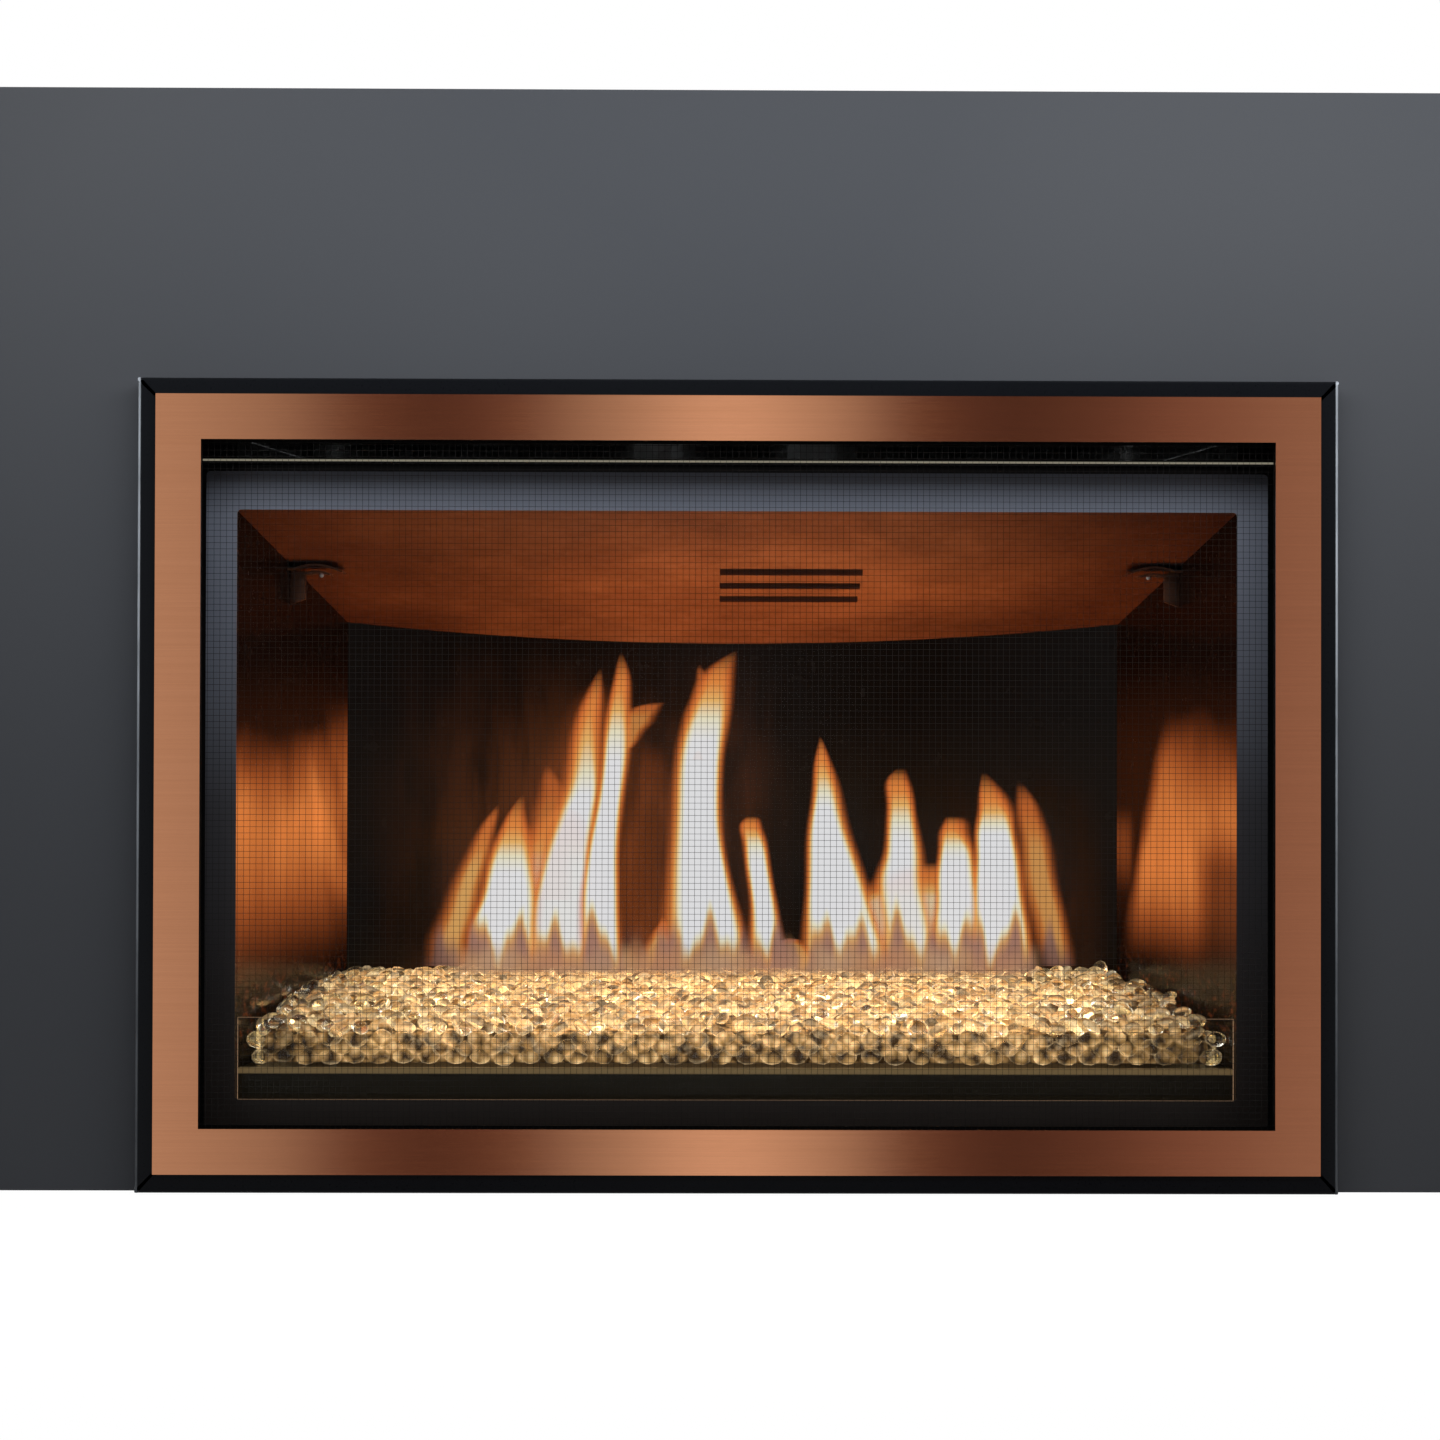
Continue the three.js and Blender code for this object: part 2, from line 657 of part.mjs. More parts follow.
// ---------------------------------------------------------------- face plate and glass
const makeFacePlate = () => {
  const view = (margin, corner) => rectangle(
    -viewWidth / 2 - margin, viewWidth / 2 + margin, viewBottom - margin, viewTop + margin, corner,
  );
  const outlet = rectangle(-outletHalfWidth, outletHalfWidth, outletBottom, outletBottom + outletHeight);
  const lowerSlot = rectangle(lowerSlotLeft, lowerSlotRight, lowerSlotBottom, lowerSlotTop);
  const controlSlot = rectangle(
    controlLeft + controlSlotInset, controlRight - controlSlotInset,
    controlBottom + gap + sheet, controlTop - sheet,
  );
  const plate = uprightPlate(
    rectangle(-plateHalfWidth, plateHalfWidth, plateBottom, plateTop), plateFront, sheet,
    [view(plateWindowMargin, viewCorner), outlet, lowerSlot, controlSlot],
  );
  const middle = plateFront + sheet / 2;
  const hangers = bothSides.flatMap(([, sign]) =>
    hookHeights.map((seatZ) => {
      const ends = [sign * hookInner, sign * hookOuter].sort((a, b) => a - b);
      const low = seatZ - hangerDepth - hookSheet;
      const section = polygon([
        [middle, low], [middle, low + hookSheet], [hangerLipY + hookSheet, low + hookSheet],
        [hangerLipY + hookSheet, seatZ], [hangerLipY, seatZ], [hangerLipY, low],
      ]);
      return across(section, ends[0], ends[1]);
    }),
  );
  const railTop = glassFrameTop - glassFrameSheet - gap;
  const rail = block(
    -railHalfWidth, railHalfWidth, plateFront - railDepth, middle, railTop - railHeight, railTop,
  );
  const posts = bothSides.map(([, sign]) =>
    turnedAlongY(ring(latchPin + gap, postRadius, glassFrameFront, middle), sign * latchX, latchZ, 16),
  );
  add("face_plate", join(plate, rail, ...hangers, ...posts), materials.blackPaint);
  const deflector = block(
    -plateHalfWidth, plateHalfWidth, deflectorFront, plateFront - gap, deflectorZ, deflectorZ + sheet,
  );
  add("air_deflector", deflector, materials.steel);

  const frameShape = (inset, corner) => rectangle(
    inset - glassFrameWidth / 2, glassFrameWidth / 2 - inset,
    glassFrameBottom + inset, glassFrameTop - inset, corner,
  );
  const front = uprightPlate(
    frameShape(0, viewCorner), glassFrameFront, glassFrameSheet, [view(0, viewCorner)],
  );
  const rim = uprightPlate(
    frameShape(0, viewCorner), glassFrameFront, glassFrameDepth, [frameShape(glassFrameSheet)],
  );
  add("glass_frame", join(front, rim), materials.blackPaint);

  const glassHalf = glassFrameWidth / 2 - glassInset;
  const glassEdge = () => rectangle(
    -glassHalf, glassHalf, glassFrameBottom + glassInset, glassFrameTop - glassTopInset,
  );
  add("glass_pane", uprightPlate(glassEdge(), glassFront, glassThickness), materials.glass);
  const gasket = uprightPlate(glassEdge(), gasketFront, gasketThickness, [view(gasketInset)]);
  add("glass_gasket", gasket, materials.gasket);
};

// Quarter-turn latch: a finger over the glass frame, its tail and its pivot pin.
const makeLatches = () => {
  const front = glassFrameFront - gap - latchThickness;
  const reach = glassFrameBottom + latchOverlap - latchZ;
  for (const [side, sign] of bothSides) {
    const half = latchWidth / 2;
    const lever = new THREE.Shape();
    lever.absarc(0, reach - half, half, 0, Math.PI);
    lever.absarc(0, half - latchTail, half, Math.PI, Math.PI * 2);
    const plate = uprightPlate(lever, front, latchThickness, [], 6).translate(0, 0, latchZ);
    const pin = turnedAlongY(rod(latchPin, front + latchThickness / 2, plateFront - gap), 0, latchZ, 12);
    add("glass_latch_" + side, join(plate, pin).translate(sign * latchX, 0, 0), materials.steel);
  }
};

// ---------------------------------------------------------------- firebox
// Plan of the firebox: straight splayed sides and a bowed back, moved out by the two offsets.
const boxPlan = (sideOffset, backOffset, frontY) => {
  const outward = sideOffset * Math.hypot(1, sideSlope);
  const sideAt = (y) => boxHalfFront + outward - sideSlope * (y - boxFrontY);
  const radius = backRadius + backOffset;
  let corner = boxCornerY;
  for (let step = 0; step < 12; step++)
    corner = backCentreY + Math.sqrt(radius ** 2 - sideAt(corner) ** 2);
  const swing = Math.asin(sideAt(corner) / radius);
  const shape = new THREE.Shape();
  shape.moveTo(-sideAt(frontY), frontY);
  shape.lineTo(sideAt(frontY), frontY);
  shape.absarc(0, backCentreY, radius, Math.PI / 2 - swing, Math.PI / 2 + swing);
  return shape;
};
const column = (sideOffset, backOffset, frontY, segments = 16) =>
  levelPlate(boxPlan(sideOffset, backOffset, frontY), 0, casingHeight, [], segments);
const slice = (points) => across(polygon(points), -casingWidth / 2, casingWidth / 2);

const shellFloorAt = (y) =>
  shellBottom + shellRise * (Math.min(Math.max(y, shellStepFront), shellStepRear) - shellStepFront);

const makeFirebox = () => {
  const deep = casingDepth;
  const profile = (front, inset, top) => slice([
    [front, shellFloorAt(front) + inset], [shellStepFront, shellBottom + inset],
    [shellStepRear, shellRearBottom + inset], [deep, shellRearBottom + inset], [deep, top], [front, top],
  ]);
  const outside = common(
    column(shellOffset + sheet, shellOffset + sheet, shellFront), profile(shellFront, 0, shellTop),
  );
  const inside = common(
    column(shellOffset, shellOffset, plateFront), profile(plateFront, sheet, shellTop - sheet),
  );
  const ventHoles = Object.values(collarXs).map((x) =>
    turned(rod(collarRadius - collarWall - gap, shellTop - 3 * sheet, shellTop + sheet)).translate(x, collarY, 0),
  );
  const burnerHole = turned(rod(venturiRadius + gap, 0, trayAt(venturiY)))
    .translate(venturiX, venturiY, 0);
  add("firebox_shell", cut(outside, inside, burnerHole, ...ventHoles), materials.galvanised);
  makeReflectors();
  makeCeiling();
};

// Enamelled panels that line the sides and the bowed back.
const makeReflectors = () => {
  const lining = () => cut(
    column(linerThickness, linerThickness, shellFront), column(0, 0, plateFront),
  );
  const rise = sheet + gap;
  const foot = (y) => [y, shellFloorAt(y) + rise];
  const head = (y) => [y, ceilingAt(y) - headGap];
  const sideEnd = boxCornerY - gap;
  const sideBand = slice([
    foot(shellFront), foot(shellStepFront), foot(shellStepRear), foot(sideEnd),
    head(sideEnd), head(shellFront),
  ]);
  for (const [side, sign] of bothSides) {
    const half = block(...[0, sign * casingWidth].sort((a, b) => a - b), 0, casingDepth, 0, casingHeight);
    add("side_reflector_" + side, common(lining(), sideBand, half), materials.enamel);
  }
  const backBand = slice([
    foot(boxCornerY), foot(casingDepth), [casingDepth, backPanelTop], [boxCornerY, backPanelTop],
  ]);
  add("back_reflector", common(lining(), backBand), materials.enamel);
};

// Sloping ceiling baffle with its pressed louvres, and the clips that hold it to the side panels.
const makeCeiling = () => {
  const slab = (drop, thickness, from, to) => [
    [from, ceilingAt(from) - drop], [to, ceilingAt(to) - drop],
    [to, ceilingAt(to) - drop + thickness], [from, ceilingAt(from) - drop + thickness],
  ];
  const panel = common(
    column(linerThickness, -gap, shellFront + gap),
    slice(slab(0, ceilingThickness, shellFront, casingDepth)),
  );
  const left = louvreX - louvreWidth / 2;
  const right = louvreX + louvreWidth / 2;
  const slots = [];
  const lips = [];
  for (let i = 0; i < louvres; i++) {
    const y = louvreY + i * louvrePitch;
    slots.push(block(left, right, y - louvreSlot / 2, y + louvreSlot / 2, 0, ceilingFrontZ));
    const rear = y + louvreSlot / 2;
    const foot = ceilingAt(rear) - louvreDrop;
    const root = ceilingAt(rear) + ceilingThickness / 2;
    const lip = polygon([
      [rear - louvreLip / 2, foot], [rear + louvreLip / 2, foot], [rear + louvreLip, root], [rear, root],
    ]);
    lips.push(across(lip, left, right));
  }
  add("ceiling_baffle", join(cut(panel, ...slots), ...lips), materials.enamel);

  const front = clipY - clipWidth / 2;
  const rear = clipY + clipWidth / 2;
  const wallX = boxHalfFront - sideSlope * (clipY - boxFrontY);
  for (const [side, sign] of bothSides) {
    const reach = [sign * (wallX - clipFlange), sign * (wallX + clipThickness)].sort((a, b) => a - b);
    const flange = common(
      column(-gap, -gap, plateFront),
      across(polygon(slab(gap + clipThickness, clipThickness, front, rear)), reach[0], reach[1]),
    );
    const skin = cut(
      column(-gap, -gap, plateFront), column(-gap - clipThickness, -clipFlange / 2, plateFront - 1),
    );
    const tabHalf = clipFlange / 4;
    const tabReach = [sign * (wallX - tabHalf), sign * (wallX + tabHalf)].sort((a, b) => a - b);
    const tabSection = slab(clipTab, clipTab - gap - clipThickness / 2, front, rear);
    const tab = common(skin, across(polygon(tabSection), tabReach[0], tabReach[1]));
    add("ceiling_clip_" + side, join(flange, tab), materials.steel);
  }
};

// ---------------------------------------------------------------- burner and media
const makeBurner = () => {
  const portHole = () => block(-portHalfWidth, portHalfWidth, portFront, portRear, 0, casingHeight);
  const traySection = slice([
    [trayFront, trayFoot], [trayFront + sheet, trayFoot], [trayFront + sheet, trayLedge],
    [trayFlatEnd, trayLedge], [trayRearY, trayRearZ], [casingDepth, trayRearZ],
    [casingDepth, trayRearZ + sheet], [trayRearY, trayRearZ + sheet],
    [trayFlatEnd, trayLedge + sheet], [trayFront, trayLedge + sheet],
  ]);
  const tray = cut(common(column(-gap, -gap, trayFront - 1), traySection), portHole());
  add("burner_tray", tray, materials.blackPaint);

  const band = (low, high, inset) => {
    const from = portFront - panRim + inset;
    const to = portRear + panRim - inset;
    const shape = polygon([
      [from, trayAt(from) - low], [to, trayAt(to) - low],
      [to, trayAt(to) - high], [from, trayAt(from) - high],
    ]);
    return across(shape, inset - portHalfWidth - panRim, portHalfWidth + panRim - inset);
  };
  const feed = turned(rod(venturiRadius - venturiWall, 0, trayAt(venturiY) - panDepth + 2 * sheet))
    .translate(venturiX, venturiY, 0);
  const pan = cut(band(panDepth, gap, 0), band(panDepth - sheet, -sheet, sheet), feed);
  add("burner_pan", pan, materials.steel);

  const plateEdge = (y, lift) => [y, trayAt(y) + lift];
  const plateSlab = across(
    polygon([
      plateEdge(portFront + gap, 0), plateEdge(portRear - gap, 0),
      plateEdge(portRear - gap, sheet), plateEdge(portFront + gap, sheet),
    ]),
    gap - portHalfWidth, portHalfWidth - gap,
  );
  const ports = [];
  const columnPitch = (2 * portHalfWidth) / portColumns;
  const rowPitch = (portRear - portFront) / portRows;
  for (let column = 0; column < portColumns; column++)
    for (let row = 0; row < portRows; row++) {
      const x = -portHalfWidth + (column + 0.5) * columnPitch;
      const y = portFront + (row + 0.5) * rowPitch;
      ports.push(block(x - portSize, x + portSize, y - portSize / 2, y + portSize / 2, 0, casingHeight));
    }
  add("burner_port_plate", cut(plateSlab, ...ports), materials.steel);

  const guardHalf = boxHalfFront - sideSlope * (guardFront + guardThickness - boxFrontY) - 2 * gap;
  add(
    "media_guard_glass",
    block(-guardHalf, guardHalf, guardFront, guardFront + guardThickness, guardBottom, guardTop),
    materials.glass,
  );
  const mediaTop = (y) => mediaFrontHeight + mediaRise * (1 - Math.exp((mediaFront - y) / mediaRunOut));
  const steps = 10;
  const crown = [];
  for (let i = 0; i <= steps; i++) {
    const y = mediaRear + ((mediaFront - mediaRear) * i) / steps;
    crown.push([y, mediaTop(y)]);
  }
  const bed = slice([
    [mediaFront, trayLedge + sheet + gap], [trayFlatEnd, trayLedge + sheet + gap],
    [trayRearY, trayRearZ + sheet + gap], [mediaRear, trayRearZ + sheet + gap], ...crown,
  ]);
  const bedPlan = column(-mediaSideClearance, -mediaSideClearance, mediaFront);
  add("glass_bead_media", common(bedPlan, bed), materials.beads);
};

const makeVenturi = () => {
  const at = (x, z) => new THREE.Vector3(x, venturiY, z);
  const panFloor = trayAt(venturiY) - panDepth - venturiRadius * traySlope - gap;
  const path = new THREE.CurvePath();
  path.add(new THREE.LineCurve3(at(mouthX, venturiZ), at(venturiX - venturiBend, venturiZ)));
  path.add(
    new THREE.QuadraticBezierCurve3(
      at(venturiX - venturiBend, venturiZ), at(venturiX, venturiZ), at(venturiX, venturiZ + venturiBend),
    ),
  );
  path.add(new THREE.LineCurve3(at(venturiX, venturiZ + venturiBend), at(venturiX, panFloor)));
  const pipe = tube(path, venturiRadius, venturiRadius - venturiWall, 14, 10);
  const bell = turnedAlongX(
    [
      [mouthRadius - venturiWall, mouthX - mouthLength], [mouthRadius, mouthX - mouthLength],
      [mouthRadius, mouthX + bellNeck / 4], [venturiRadius - venturiWall / 4, mouthX + bellNeck],
      [venturiRadius - 0.95 * venturiWall, mouthX + bellNeck],
      [mouthRadius - venturiWall, mouthX - bellNeck / 4], [mouthRadius - venturiWall, mouthX - mouthLength],
    ],
    venturiY, venturiZ, 20,
  );
  const windowRear = mouthX - bellNeck;
  const airWindow = block(
    windowRear - windowLength, windowRear, venturiY - 2 * mouthRadius, venturiY + 2 * mouthRadius,
    venturiZ - windowHeight / 2, venturiZ + windowHeight / 2,
  );
  add("venturi_tube", cut(join(pipe, bell), airWindow), materials.aluminium);
  const inner = mouthRadius + shutterClearance;
  const shutter = turnedAlongX(
    ring(inner, inner + venturiWall, mouthX - mouthLength, mouthX - mouthLength + shutterLength),
    venturiY, venturiZ, 20,
  );
  add("air_shutter", shutter, materials.steel);

  const post = block(
    orificeX - 2 * sheet, orificeX, venturiY - venturiRadius, venturiY + venturiRadius,
    plateBottom, venturiZ + venturiRadius,
  );
  const spud = turnedAlongX(
    [
      [0, orificeX - sheet], [spudRadius, orificeX - sheet], [spudRadius, orificeX + spudLength / 2],
      [spudRadius / 2, orificeX + spudLength], [0, orificeX + spudLength],
    ],
    venturiY, venturiZ, 12,
  );
  add("orifice_holder", join(post, spud), materials.brass);
};

const makePilot = () => {
  const seat = trayRearZ + sheet + gap;
  const top = seat + pilotHeight;
  const bracket = bentSheet(
    [[pilotY + pilotFoot, seat + sheet / 2], [pilotY, seat + sheet / 2], [pilotY, top]], sheet,
  );
  const hood = turned(ring(hoodBore, hoodRadius, seat + hoodLift, top), 12)
    .translate(pilotX, pilotY - sheet / 2 - hoodStandoff, 0);
  const stand = across(bracket, pilotX - pilotHalfWidth, pilotX + pilotHalfWidth);
  add("pilot_burner", join(stand, hood), materials.steel);
  const foot = seat + hoodLift;
  const shoulder = foot + electrodeCeramic;
  const electrode = turned(
    [
      [0, foot], [electrodeRadius, foot], [electrodeRadius, shoulder], [electrodeTip, shoulder + 1],
      [electrodeTip, foot + electrodeHeight], [0, foot + electrodeHeight],
    ],
    10,
  ).translate(electrodeX, pilotY - sheet / 2 - gap - electrodeRadius, 0);
  add("spark_electrode", electrode, materials.ceramic);
};

// ---------------------------------------------------------------- gas train
const makeGasTrain = () => {
  const pipeEnd = -casingWidth / 2 - pipeOutside;
  const pipe = turnedAlongX(ring(pipeBore, pipeRadius, pipeEnd, cockLeft - gap), gasY, gasZ, 16);
  add("gas_inlet_pipe", pipe, materials.steel);

  const waist = cockRadius - cockChamfer;
  const barrel = turnedAlongX(
    [
      [pipeBore, cockLeft], [cockRadius, cockLeft], [cockRadius, cockLeft + cockHexagon],
      [waist, cockLeft + cockHexagon + cockChamfer], [waist, cockRight - cockHexagon - cockChamfer],
      [cockRadius, cockRight - cockHexagon], [cockRadius, cockRight],
      [pipeBore, cockRight], [pipeBore, cockLeft],
    ],
    gasY, gasZ, 6,
  );
  const neck = turned(
    ring(stemRadius + gap, cockRadius - leverNeck, gasZ + pipeBore + 1, leverZ - leverNeck), 16,
  )
    .translate(leverX, gasY, 0);
  add("shutoff_valve", join(barrel, neck), materials.brass);
  const handle = new THREE.Shape();
  handle.absarc(0, 0, leverWidth / 2, Math.PI / 2, Math.PI * 1.5);
  handle.absarc(leverLength - leverWidth / 2, 0, leverWidth / 2, -Math.PI / 2, Math.PI / 2);
  const lever = join(
    levelPlate(handle, leverZ, leverThickness),
    turned(rod(stemRadius, gasZ + pipeBore + 1 + leverNeck, leverZ + 1), 12),
  );
  add("shutoff_lever", lever.translate(leverX, gasY, 0), materials.steel);

  const feed = turnedAlongX(
    ring(connectorRadius - connectorWall, connectorRadius, cockRight + gap, valveLeft - gap), gasY, gasZ, 14,
  );
  add("gas_connector", feed, materials.steel);

  const bodyBlock = block(valveLeft, valveRight, valveFront, valveBack, valveBottom, valveTop);
  const regulator = turned(rod(regulatorRadius, valveTop - 1, valveTop + regulatorHeight), 20)
    .translate((valveLeft + valveRight) / 2, valveBack - regulatorInset, 0);
  const bosses = knobXs.map((x) => turnedAlongY(
    ring(stemRadius + gap, knobRadius - 2, valveFront - bossLength, valveFront + 1), x, knobZ, 16,
  ));
  const stemBores = knobXs.map((x) =>
    turnedAlongY(rod(stemRadius + gap, valveFront - 1, valveFront + stemBore), x, knobZ, 12),
  );
  const foot = block(
    valveLeft - valveFlange, valveRight + valveFlange, valveFront + valveBottom, valveBack - valveBottom,
    plateBottom, valveBottom + 1,
  );
  add("gas_valve", join(cut(bodyBlock, ...stemBores), regulator, foot, ...bosses), materials.aluminium);
  ["gas_knob", "flame_knob"].forEach((name, i) => {
    const rear = knobFront + knobDepth;
    const grip = turnedAlongY(
      [
        [0, knobFront], [knobRadius - 2.5, knobFront], [knobRadius - 1.5, knobFront + 1],
        [knobRadius, rear - knobSkirt], [knobRadius, rear], [0, rear],
      ],
      0, 0, 20,
    );
    const pointer = block(
      -pointerWidth / 2, pointerWidth / 2, knobFront - pointerHeight, knobFront + pointerHeight,
      -pointerHeight, knobRadius - knobSkirt,
    );
    const stem = turnedAlongY(rod(stemRadius, rear - 1, valveFront + stemBore - 2), 0, 0, 12);
    add(name, join(grip, pointer, stem).translate(knobXs[i], 0, knobZ), materials.plastic);
  });

  const start = new THREE.Vector3(valveRight + gap, supplyY, gasZ);
  const end = new THREE.Vector3(orificeX - 2 * sheet - gap, venturiY, venturiZ);
  const reach = new THREE.Vector3((end.x - start.x) / 2, 0, 0);
  const bend = new THREE.CubicBezierCurve3(start, start.clone().add(reach), end.clone().sub(reach), end);
  add("burner_supply_tube", tube(bend, supplyRadius, supplyRadius - supplyWall, 8, 8), materials.aluminium);
};

// ---------------------------------------------------------------- controls
const makeControls = () => {
  const plateShape = rectangle(controlLeft, controlRight, controlBottom, controlTop);
  const switchHole = rectangle(
    switchX - switchWidth / 2, switchX + switchWidth / 2,
    switchZ - switchHeight / 2, switchZ + switchHeight / 2,
  );
  const shaftHole = circle(fanControlX, fanControlZ, fanShaft + 0.5);
  const front = plateFront - gap - sheet;
  const controls = uprightPlate(plateShape, front, sheet, [switchHole, shaftHole], 8);
  add("control_plate", controls, materials.blackPaint);

  const housing = (inset, from, to) => block(
    switchX - switchWidth / 2 + inset, switchX + switchWidth / 2 - inset, from, to,
    switchZ - switchHeight / 2 + inset, switchZ + switchHeight / 2 - inset,
  );
  const body = cut(
    housing(switchRoom, plateFront, plateFront + switchDepth),
    housing(switchWall, plateFront - 1, plateFront + switchWell),
  );
  add("switch_body", body, materials.plastic);
  const half = switchHeight / 2 - rockerRoom;
  const lip = plateFront - rockerProud;
  const heel = plateFront + rockerHeel;
  const rocker = polygon([
    [lip, half], [plateFront + 1, half - 0.6], [heel, 0.8], [heel, -0.8],
    [plateFront + 1, 0.6 - half], [lip, -half], [lip + rockerNotch, 0],
  ]);
  const rockerHalf = switchWidth / 2 - rockerRoom;
  add(
    "blower_rocker",
    across(rocker, switchX - rockerHalf, switchX + rockerHalf).translate(0, 0, switchZ),
    materials.plastic,
  );

  const boxFront = plateRear + gap;
  const fanBox = cut(
    block(
      fanControlX - fanControlSize / 2, fanControlX + fanControlSize / 2,
      boxFront, boxFront + fanControlDepth,
      fanControlZ - fanControlSize / 2, fanControlZ + fanControlSize / 2,
    ),
    turnedAlongY(rod(fanShaft + gap, boxFront - 1, boxFront + fanShaftDepth), fanControlX, fanControlZ, 12),
  );
  add("fan_speed_control", fanBox, materials.plastic);
  const knobRear = front - 2 * gap;
  const knob = turnedAlongY(
    [
      [0, 0], [fanKnobRadius - 2, 0], [fanKnobRadius - 1, 1], [fanKnobRadius, knobRear - knobSkirt],
      [fanKnobRadius, knobRear], [0, knobRear],
    ],
    0, 0, 20,
  );
  const mark = block(-markWidth / 2, markWidth / 2, -1.5, 2, 0, fanKnobRadius - knobSkirt);
  const shaft = turnedAlongY(rod(fanShaft, knobRear - 1, boxFront + fanShaftDepth - 2), 0, 0, 12);
  add("fan_speed_knob", join(knob, mark, shaft).translate(fanControlX, 0, fanControlZ), materials.plastic);
};

// ---------------------------------------------------------------- blower
// Tangential wheel: curved blades between end discs and a middle disc, on one shaft.
const makeBlower = () => {
  const blade = (() => {
    const shape = new THREE.Shape();
    const middle = (wheelRadius + wheelHub) / 2;
    const curl = (wheelRadius - wheelHub) / 2 + 0.6;
    shape.absarc(middle, 0, curl, 0, Math.PI * 0.85, false);
    shape.absarc(middle, 0, curl - bladeThickness, Math.PI * 0.85, 0, true);
    return shape;
  })();
  const bladeBlank = across(blade, -wheelHalfLength, wheelHalfLength, [], 2);
  const turn = (i) => bladeBlank.clone().rotateX((i * 2 * Math.PI) / wheelBlades);
  const blades = Array.from({ length: wheelBlades }, (_, i) => turn(i));
  const discs = [-wheelHalfLength, -discThickness / 2, wheelHalfLength - discThickness].map((x) =>
    turnedAlongX(rod(wheelRadius, x, x + discThickness), 0, 0, 24),
  );
  const leftEnd = -wheelHalfLength - blowerEndSpace - sheet - motorLength / 2;
  const rightEnd = wheelHalfLength + blowerEndSpace + 3 * sheet;
  const shaft = turnedAlongX(rod(shaftRadius, leftEnd, rightEnd), 0, 0, 16);
  add("blower_wheel", join(shaft, ...discs, ...blades).translate(0, wheelY, wheelZ), materials.aluminium);

  const scrollLine = [];
  for (let i = 0; i <= 8; i++) {
    const angle = Math.PI * (1.2 + (0.8 * i) / 8);
    const radius = wheelRadius + scrollClearance + (scrollGrowth * i) / 8;
    scrollLine.push([wheelY + radius * Math.cos(angle), wheelZ + radius * Math.sin(angle)]);
  }
  const [outletY] = scrollLine[scrollLine.length - 1];
  scrollLine.push([outletY, shellRearBottom - 2 * sheet]);
  const scrollHalf = wheelHalfLength + blowerEndSpace - gap;
  const scroll = across(bentSheet(scrollLine, scrollSheet), -scrollHalf, scrollHalf);
  add("blower_scroll", scroll, materials.galvanised);

  const endShape = () =>
    rectangle(wheelY - endAhead, wheelY + endBehind, plateBottom, shellRearBottom - gap);
  for (const [side, sign] of bothSides) {
    const bore = circle(wheelY, wheelZ, shaftRadius + shaftClearance);
    const inner = wheelHalfLength + blowerEndSpace;
    const ends = [sign * inner, sign * (inner + sheet)].sort((a, b) => a - b);
    add("blower_end_" + side, across(endShape(), ends[0], ends[1], [bore], 12), materials.galvanised);
  }
  const motorRight = -wheelHalfLength - blowerEndSpace - sheet - gap;
  const motorLeft = motorRight - motorLength;
  const bore = shaftRadius + shaftClearance;
  const shoulder = motorRadius - motorShoulder;
  const boreEnd = motorRight - motorLength / 2 - motorShoulder;
  const motor = turnedAlongX(
    [
      [0, motorLeft], [shoulder, motorLeft], [motorRadius, motorLeft + motorShoulder],
      [motorRadius, motorRight - motorShoulder], [shoulder, motorRight], [bore, motorRight],
      [bore, boreEnd], [0, boreEnd],
    ],
    wheelY, wheelZ, 24,
  );
  add("blower_motor", motor, materials.blackPaint);
};

// ---------------------------------------------------------------- flue collars
const makeVents = () => {
  const seat = casingHeight + gap;
  const holes = Object.values(collarXs).map((x) => circle(x, collarY, collarRadius + gap));
  const edge = rectangle(
    -ventPlateWidth / 2, ventPlateWidth / 2, collarY - ventPlateDepth / 2, collarY + ventPlateDepth / 2,
  );
  add("vent_plate", levelPlate(edge, seat, sheet, holes, 16), materials.galvanised);
  const flangeZ = seat + sheet + gap;
  const inner = collarRadius - collarWall;
  const bottom = shellTop + gap;
  const flanged = [
    [inner, bottom], [collarRadius, bottom], [collarRadius, flangeZ], [collarFlange, flangeZ],
    [collarFlange, flangeZ + sheet], [collarRadius, flangeZ + sheet], [collarRadius, collarTop],
    [inner, collarTop], [inner, bottom],
  ];
  for (const [name, x] of Object.entries(collarXs))
    add(name + "_collar", turned(flanged, 24).translate(x, collarY, 0), materials.galvanised);
};

makeFront();
makeSurround();
makeCasing();
makeFacePlate();
makeLatches();
makeFirebox();
makeBurner();
makeVenturi();
makePilot();
makeGasTrain();
makeControls();
makeBlower();
makeVents();

bodyGroup.position.y = -modelMiddleY;
const fireplaceInsert = new THREE.Group();
fireplaceInsert.add(bodyGroup);
export default fireplaceInsert;
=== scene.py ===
"""Gas fireplace insert: finishes, barrier net, glass beads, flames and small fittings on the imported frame.

Metres, +Z up, X = 0 in the middle, the front facing -Y, the hearth at Z = 0.
"""
import json
import math
import random

import bmesh
import bpy
from mathutils import Matrix, Vector


